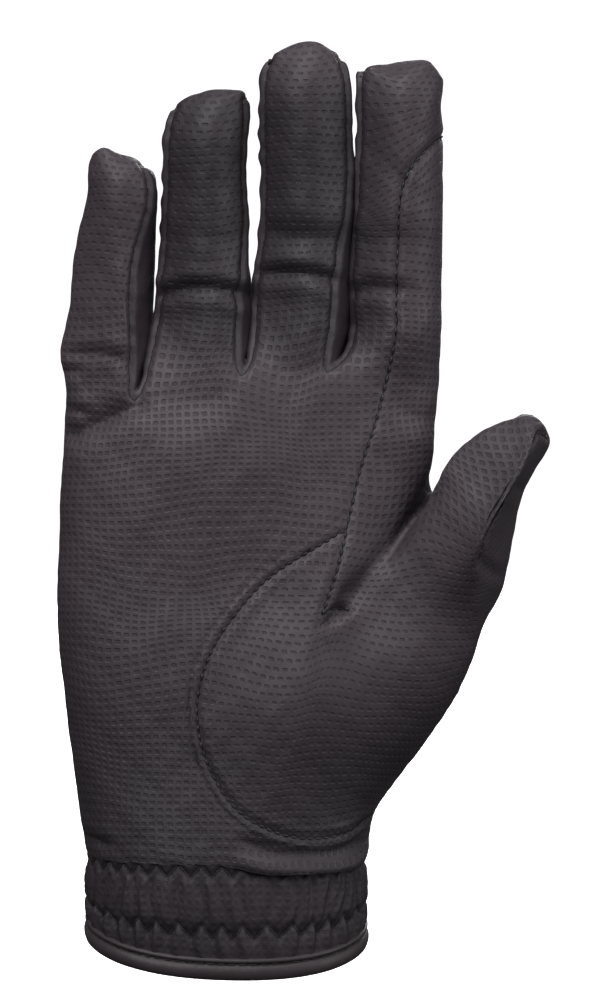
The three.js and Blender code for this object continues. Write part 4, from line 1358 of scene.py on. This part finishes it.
# The studio in metres: the floor's height, front edge, half breadth and back edge, the radius and steps of
# its rise, and the height of the backdrop.
FLOOR_Z = -0.075
FLOOR_FRONT, FLOOR_HALF_BREADTH, FLOOR_BACK = -6.0, 7.0, 6.0
RISE_RADIUS, RISE_STEPS, BACKDROP_TOP = 3.0, 24, 6.0
# The studio's own light by height of direction: from, to, darkest and brightest.
WORLD_RANGE = (-0.3, 0.9, 0.06, 0.12)
# Lamps: name, place and size in metres, and power in watts. They all aim at the middle of the glove.
LAMPS = [
    ("key", (-0.6, -1.1, 0.95), (0.9, 0.8), 19.5),
    ("fill", (1.3, -0.6, 0.5), (0.9, 1.2), 13),
    ("back", (0.3, 1.5, 0.9), (1.2, 1.0), 24),
    ("top", (0.0, -0.45, 1.5), (0.9, 0.7), 12),
]
LAMP_AIM = (0.02, 0, 0.11)


def build_camera():
    data = bpy.data.cameras.new("camera")
    data.sensor_fit = "HORIZONTAL"
    data.sensor_width = 36.0
    data.lens = data.sensor_width * CAMERA_DISTANCE / (PICTURE_WIDTH_MM * MM)
    data.clip_end = 50
    camera = bpy.data.objects.new("camera", data)
    bpy.context.collection.objects.link(camera)
    away = Vector((0, -math.cos(CAMERA_ELEVATION), math.sin(CAMERA_ELEVATION)))
    camera.location = VIEW_CENTRE + away * CAMERA_DISTANCE
    camera.rotation_euler = (-away).to_track_quat("-Z", "Y").to_euler()
    bpy.context.scene.camera = camera


def build_lamps():
    for name, place, size, power in LAMPS:
        data = bpy.data.lights.new(name, "AREA")
        data.shape = "RECTANGLE"
        data.size, data.size_y = size
        data.energy = power
        lamp = bpy.data.objects.new(name, data)
        lamp.location = place
        way = Vector(LAMP_AIM) - Vector(place)
        lamp.rotation_euler = way.to_track_quat("-Z", "Y").to_euler()
        bpy.context.collection.objects.link(lamp)


def build_floor():
    """A pale floor that rises softly into a backdrop behind the glove."""
    start = FLOOR_BACK - RISE_RADIUS
    profile = [(FLOOR_FRONT, FLOOR_Z), (start, FLOOR_Z)]
    for i in range(1, RISE_STEPS + 1):
        turn = math.pi / 2 * i / RISE_STEPS
        profile.append((start + RISE_RADIUS * math.sin(turn), FLOOR_Z + RISE_RADIUS * (1 - math.cos(turn))))
    profile.append((FLOOR_BACK, BACKDROP_TOP))
    breadth = (-FLOOR_HALF_BREADTH, FLOOR_HALF_BREADTH)
    places = np.array([[x, y, z] for y, z in profile for x in breadth]) / MM
    quads = np.array([[2 * i, 2 * i + 1, 2 * i + 3, 2 * i + 2] for i in range(len(profile) - 1)])
    floor = mesh_object("floor_sweep", places, quads, None, {})
    n = Nodes("pale_floor")
    speck = n.noise(n.node("ShaderNodeTexCoord", output=3), 30.0, 2.0)
    n.put(n.shader.inputs["Base Color"], n.mix(speck, (0.9, 0.9, 0.9, 1), (0.93, 0.93, 0.93, 1)))
    n.shader.inputs["Roughness"].default_value = 0.9
    n.shader.inputs["Emission Color"].default_value = (1, 1, 1, 1)
    n.shader.inputs["Emission Strength"].default_value = 1.0
    floor.data.materials.append(n.material)
    floor.visible_glossy = False
    floor.visible_diffuse = False
    floor.visible_shadow = False


def build_world():
    """A faint light from all sides, a little brighter from above."""
    world = bpy.data.worlds.new("studio")
    world.use_nodes = True
    tree = world.node_tree
    sky = tree.nodes["Background"]
    sky.inputs[0].default_value = (1, 1, 1, 1)
    way = tree.nodes.new("ShaderNodeTexCoord")
    parts = tree.nodes.new("ShaderNodeSeparateXYZ")
    bright = tree.nodes.new("ShaderNodeMapRange")
    tree.links.new(way.outputs["Generated"], parts.inputs[0])
    tree.links.new(parts.outputs[2], bright.inputs["Value"])
    for socket, value in zip((1, 2, 3, 4), WORLD_RANGE):
        bright.inputs[socket].default_value = value
    tree.links.new(bright.outputs[0], sky.inputs[1])
    bpy.context.scene.world = world


# Sewn seams: the two panels, and the pitch, length, height and radius of the stitches in millimetres.
SEWN = [
    ("index_side", "palm", 2.4, 1.7, 0.34, 0.26),
    ("index_side", "thumb_front", 2.2, 1.6, 0.34, 0.26),
    ("palm", "thumb_front", 2.1, 1.5, 0.32, 0.24),
    ("thumb_back", "thumb_front", 2.4, 1.5, 0.2, 0.2),
    ("fourchette_ring_little", "palm", 2.6, 1.5, 0.1, 0.14),
    ("fourchette_middle_ring", "palm", 2.6, 1.5, 0.1, 0.14),
    ("fourchette_index_middle", "palm", 2.6, 1.5, 0.1, 0.14),
]
# Height and radius of the zigzag thread, and pitch, length, height and radius of the binding's stitches.
ZIGZAG_THREAD = (0.1, 0.17)
HEM_STITCH = (2.6, 1.8, 0.18, 0.2)


def sew_seams(places, normals, seams, thread):
    for first, second, pitch, length, lift, radius in SEWN:
        pair = sorted(side if "fourchette" in side else side + "_panel" for side in (first, second))
        own = seams.between(*pair)
        own = own[~hidden_seam(places[own[:, 0]], *pair)]
        parts = []
        for chain in seam_chains(own):
            parts += seam_stitches(places[chain], normals[chain], pitch, length, lift, radius)
        dress(joined(first + "_to_" + second + "_stitches", parts), thread, "strip_leather")


build_camera()
pieces, places, normals, seams = build_glove()
embossed = embossed_leather("embossed_leather", (0.031, 0.0236, 0.0296), 0.13, 0.56, 0.36)
plain = smooth_leather("back_leather", (0.029, 0.0222, 0.0276), 0.56, 0.36)
strip = smooth_leather("strip_leather", (0.024, 0.0184, 0.0228), 0.52, 0.36)
gathered = embossed_leather("gathered_leather", (0.03, 0.023, 0.0284), 0.06, 0.64, 0.28, 0.25)
binding = smooth_leather("binding_leather", (0.025, 0.0195, 0.0225), 0.52, 0.3, 0.03)
thread = thread_material()
FINISHES = {
    "palm_panel": (embossed, "embossed_leather"),
    "index_side_panel": (embossed, "embossed_leather"),
    "thumb_front_panel": (embossed, "embossed_leather"),
    "thumb_back_panel": (embossed, "back_leather"),
    "back_panel": (plain, "back_leather"),
}
for name, piece in pieces.items():
    material, slot = FINISHES.get(name, (strip, "strip_leather"))
    dress(piece, material, slot, name)
dress(build_cuff(), gathered, "gathered_leather", "wrist_cuff")
dress(build_hem(), binding, "binding_leather", "hem_binding")
sew_seams(places, normals, seams, thread)
for number, (level, height) in enumerate(ZIGZAG_ROWS, 1):
    strokes = zigzag(level, height, *ZIGZAG_THREAD)
    dress(joined("zigzag_stitches_%d" % number, strokes), thread, "gathered_leather")
dress(joined("hem_stitches", hem_stitches(*HEM_STITCH)), thread, "binding_leather")
build_floor()
build_world()
build_lamps()
bpy.context.scene.view_settings.view_transform = "Standard"
bpy.context.scene.view_settings.look = "None"
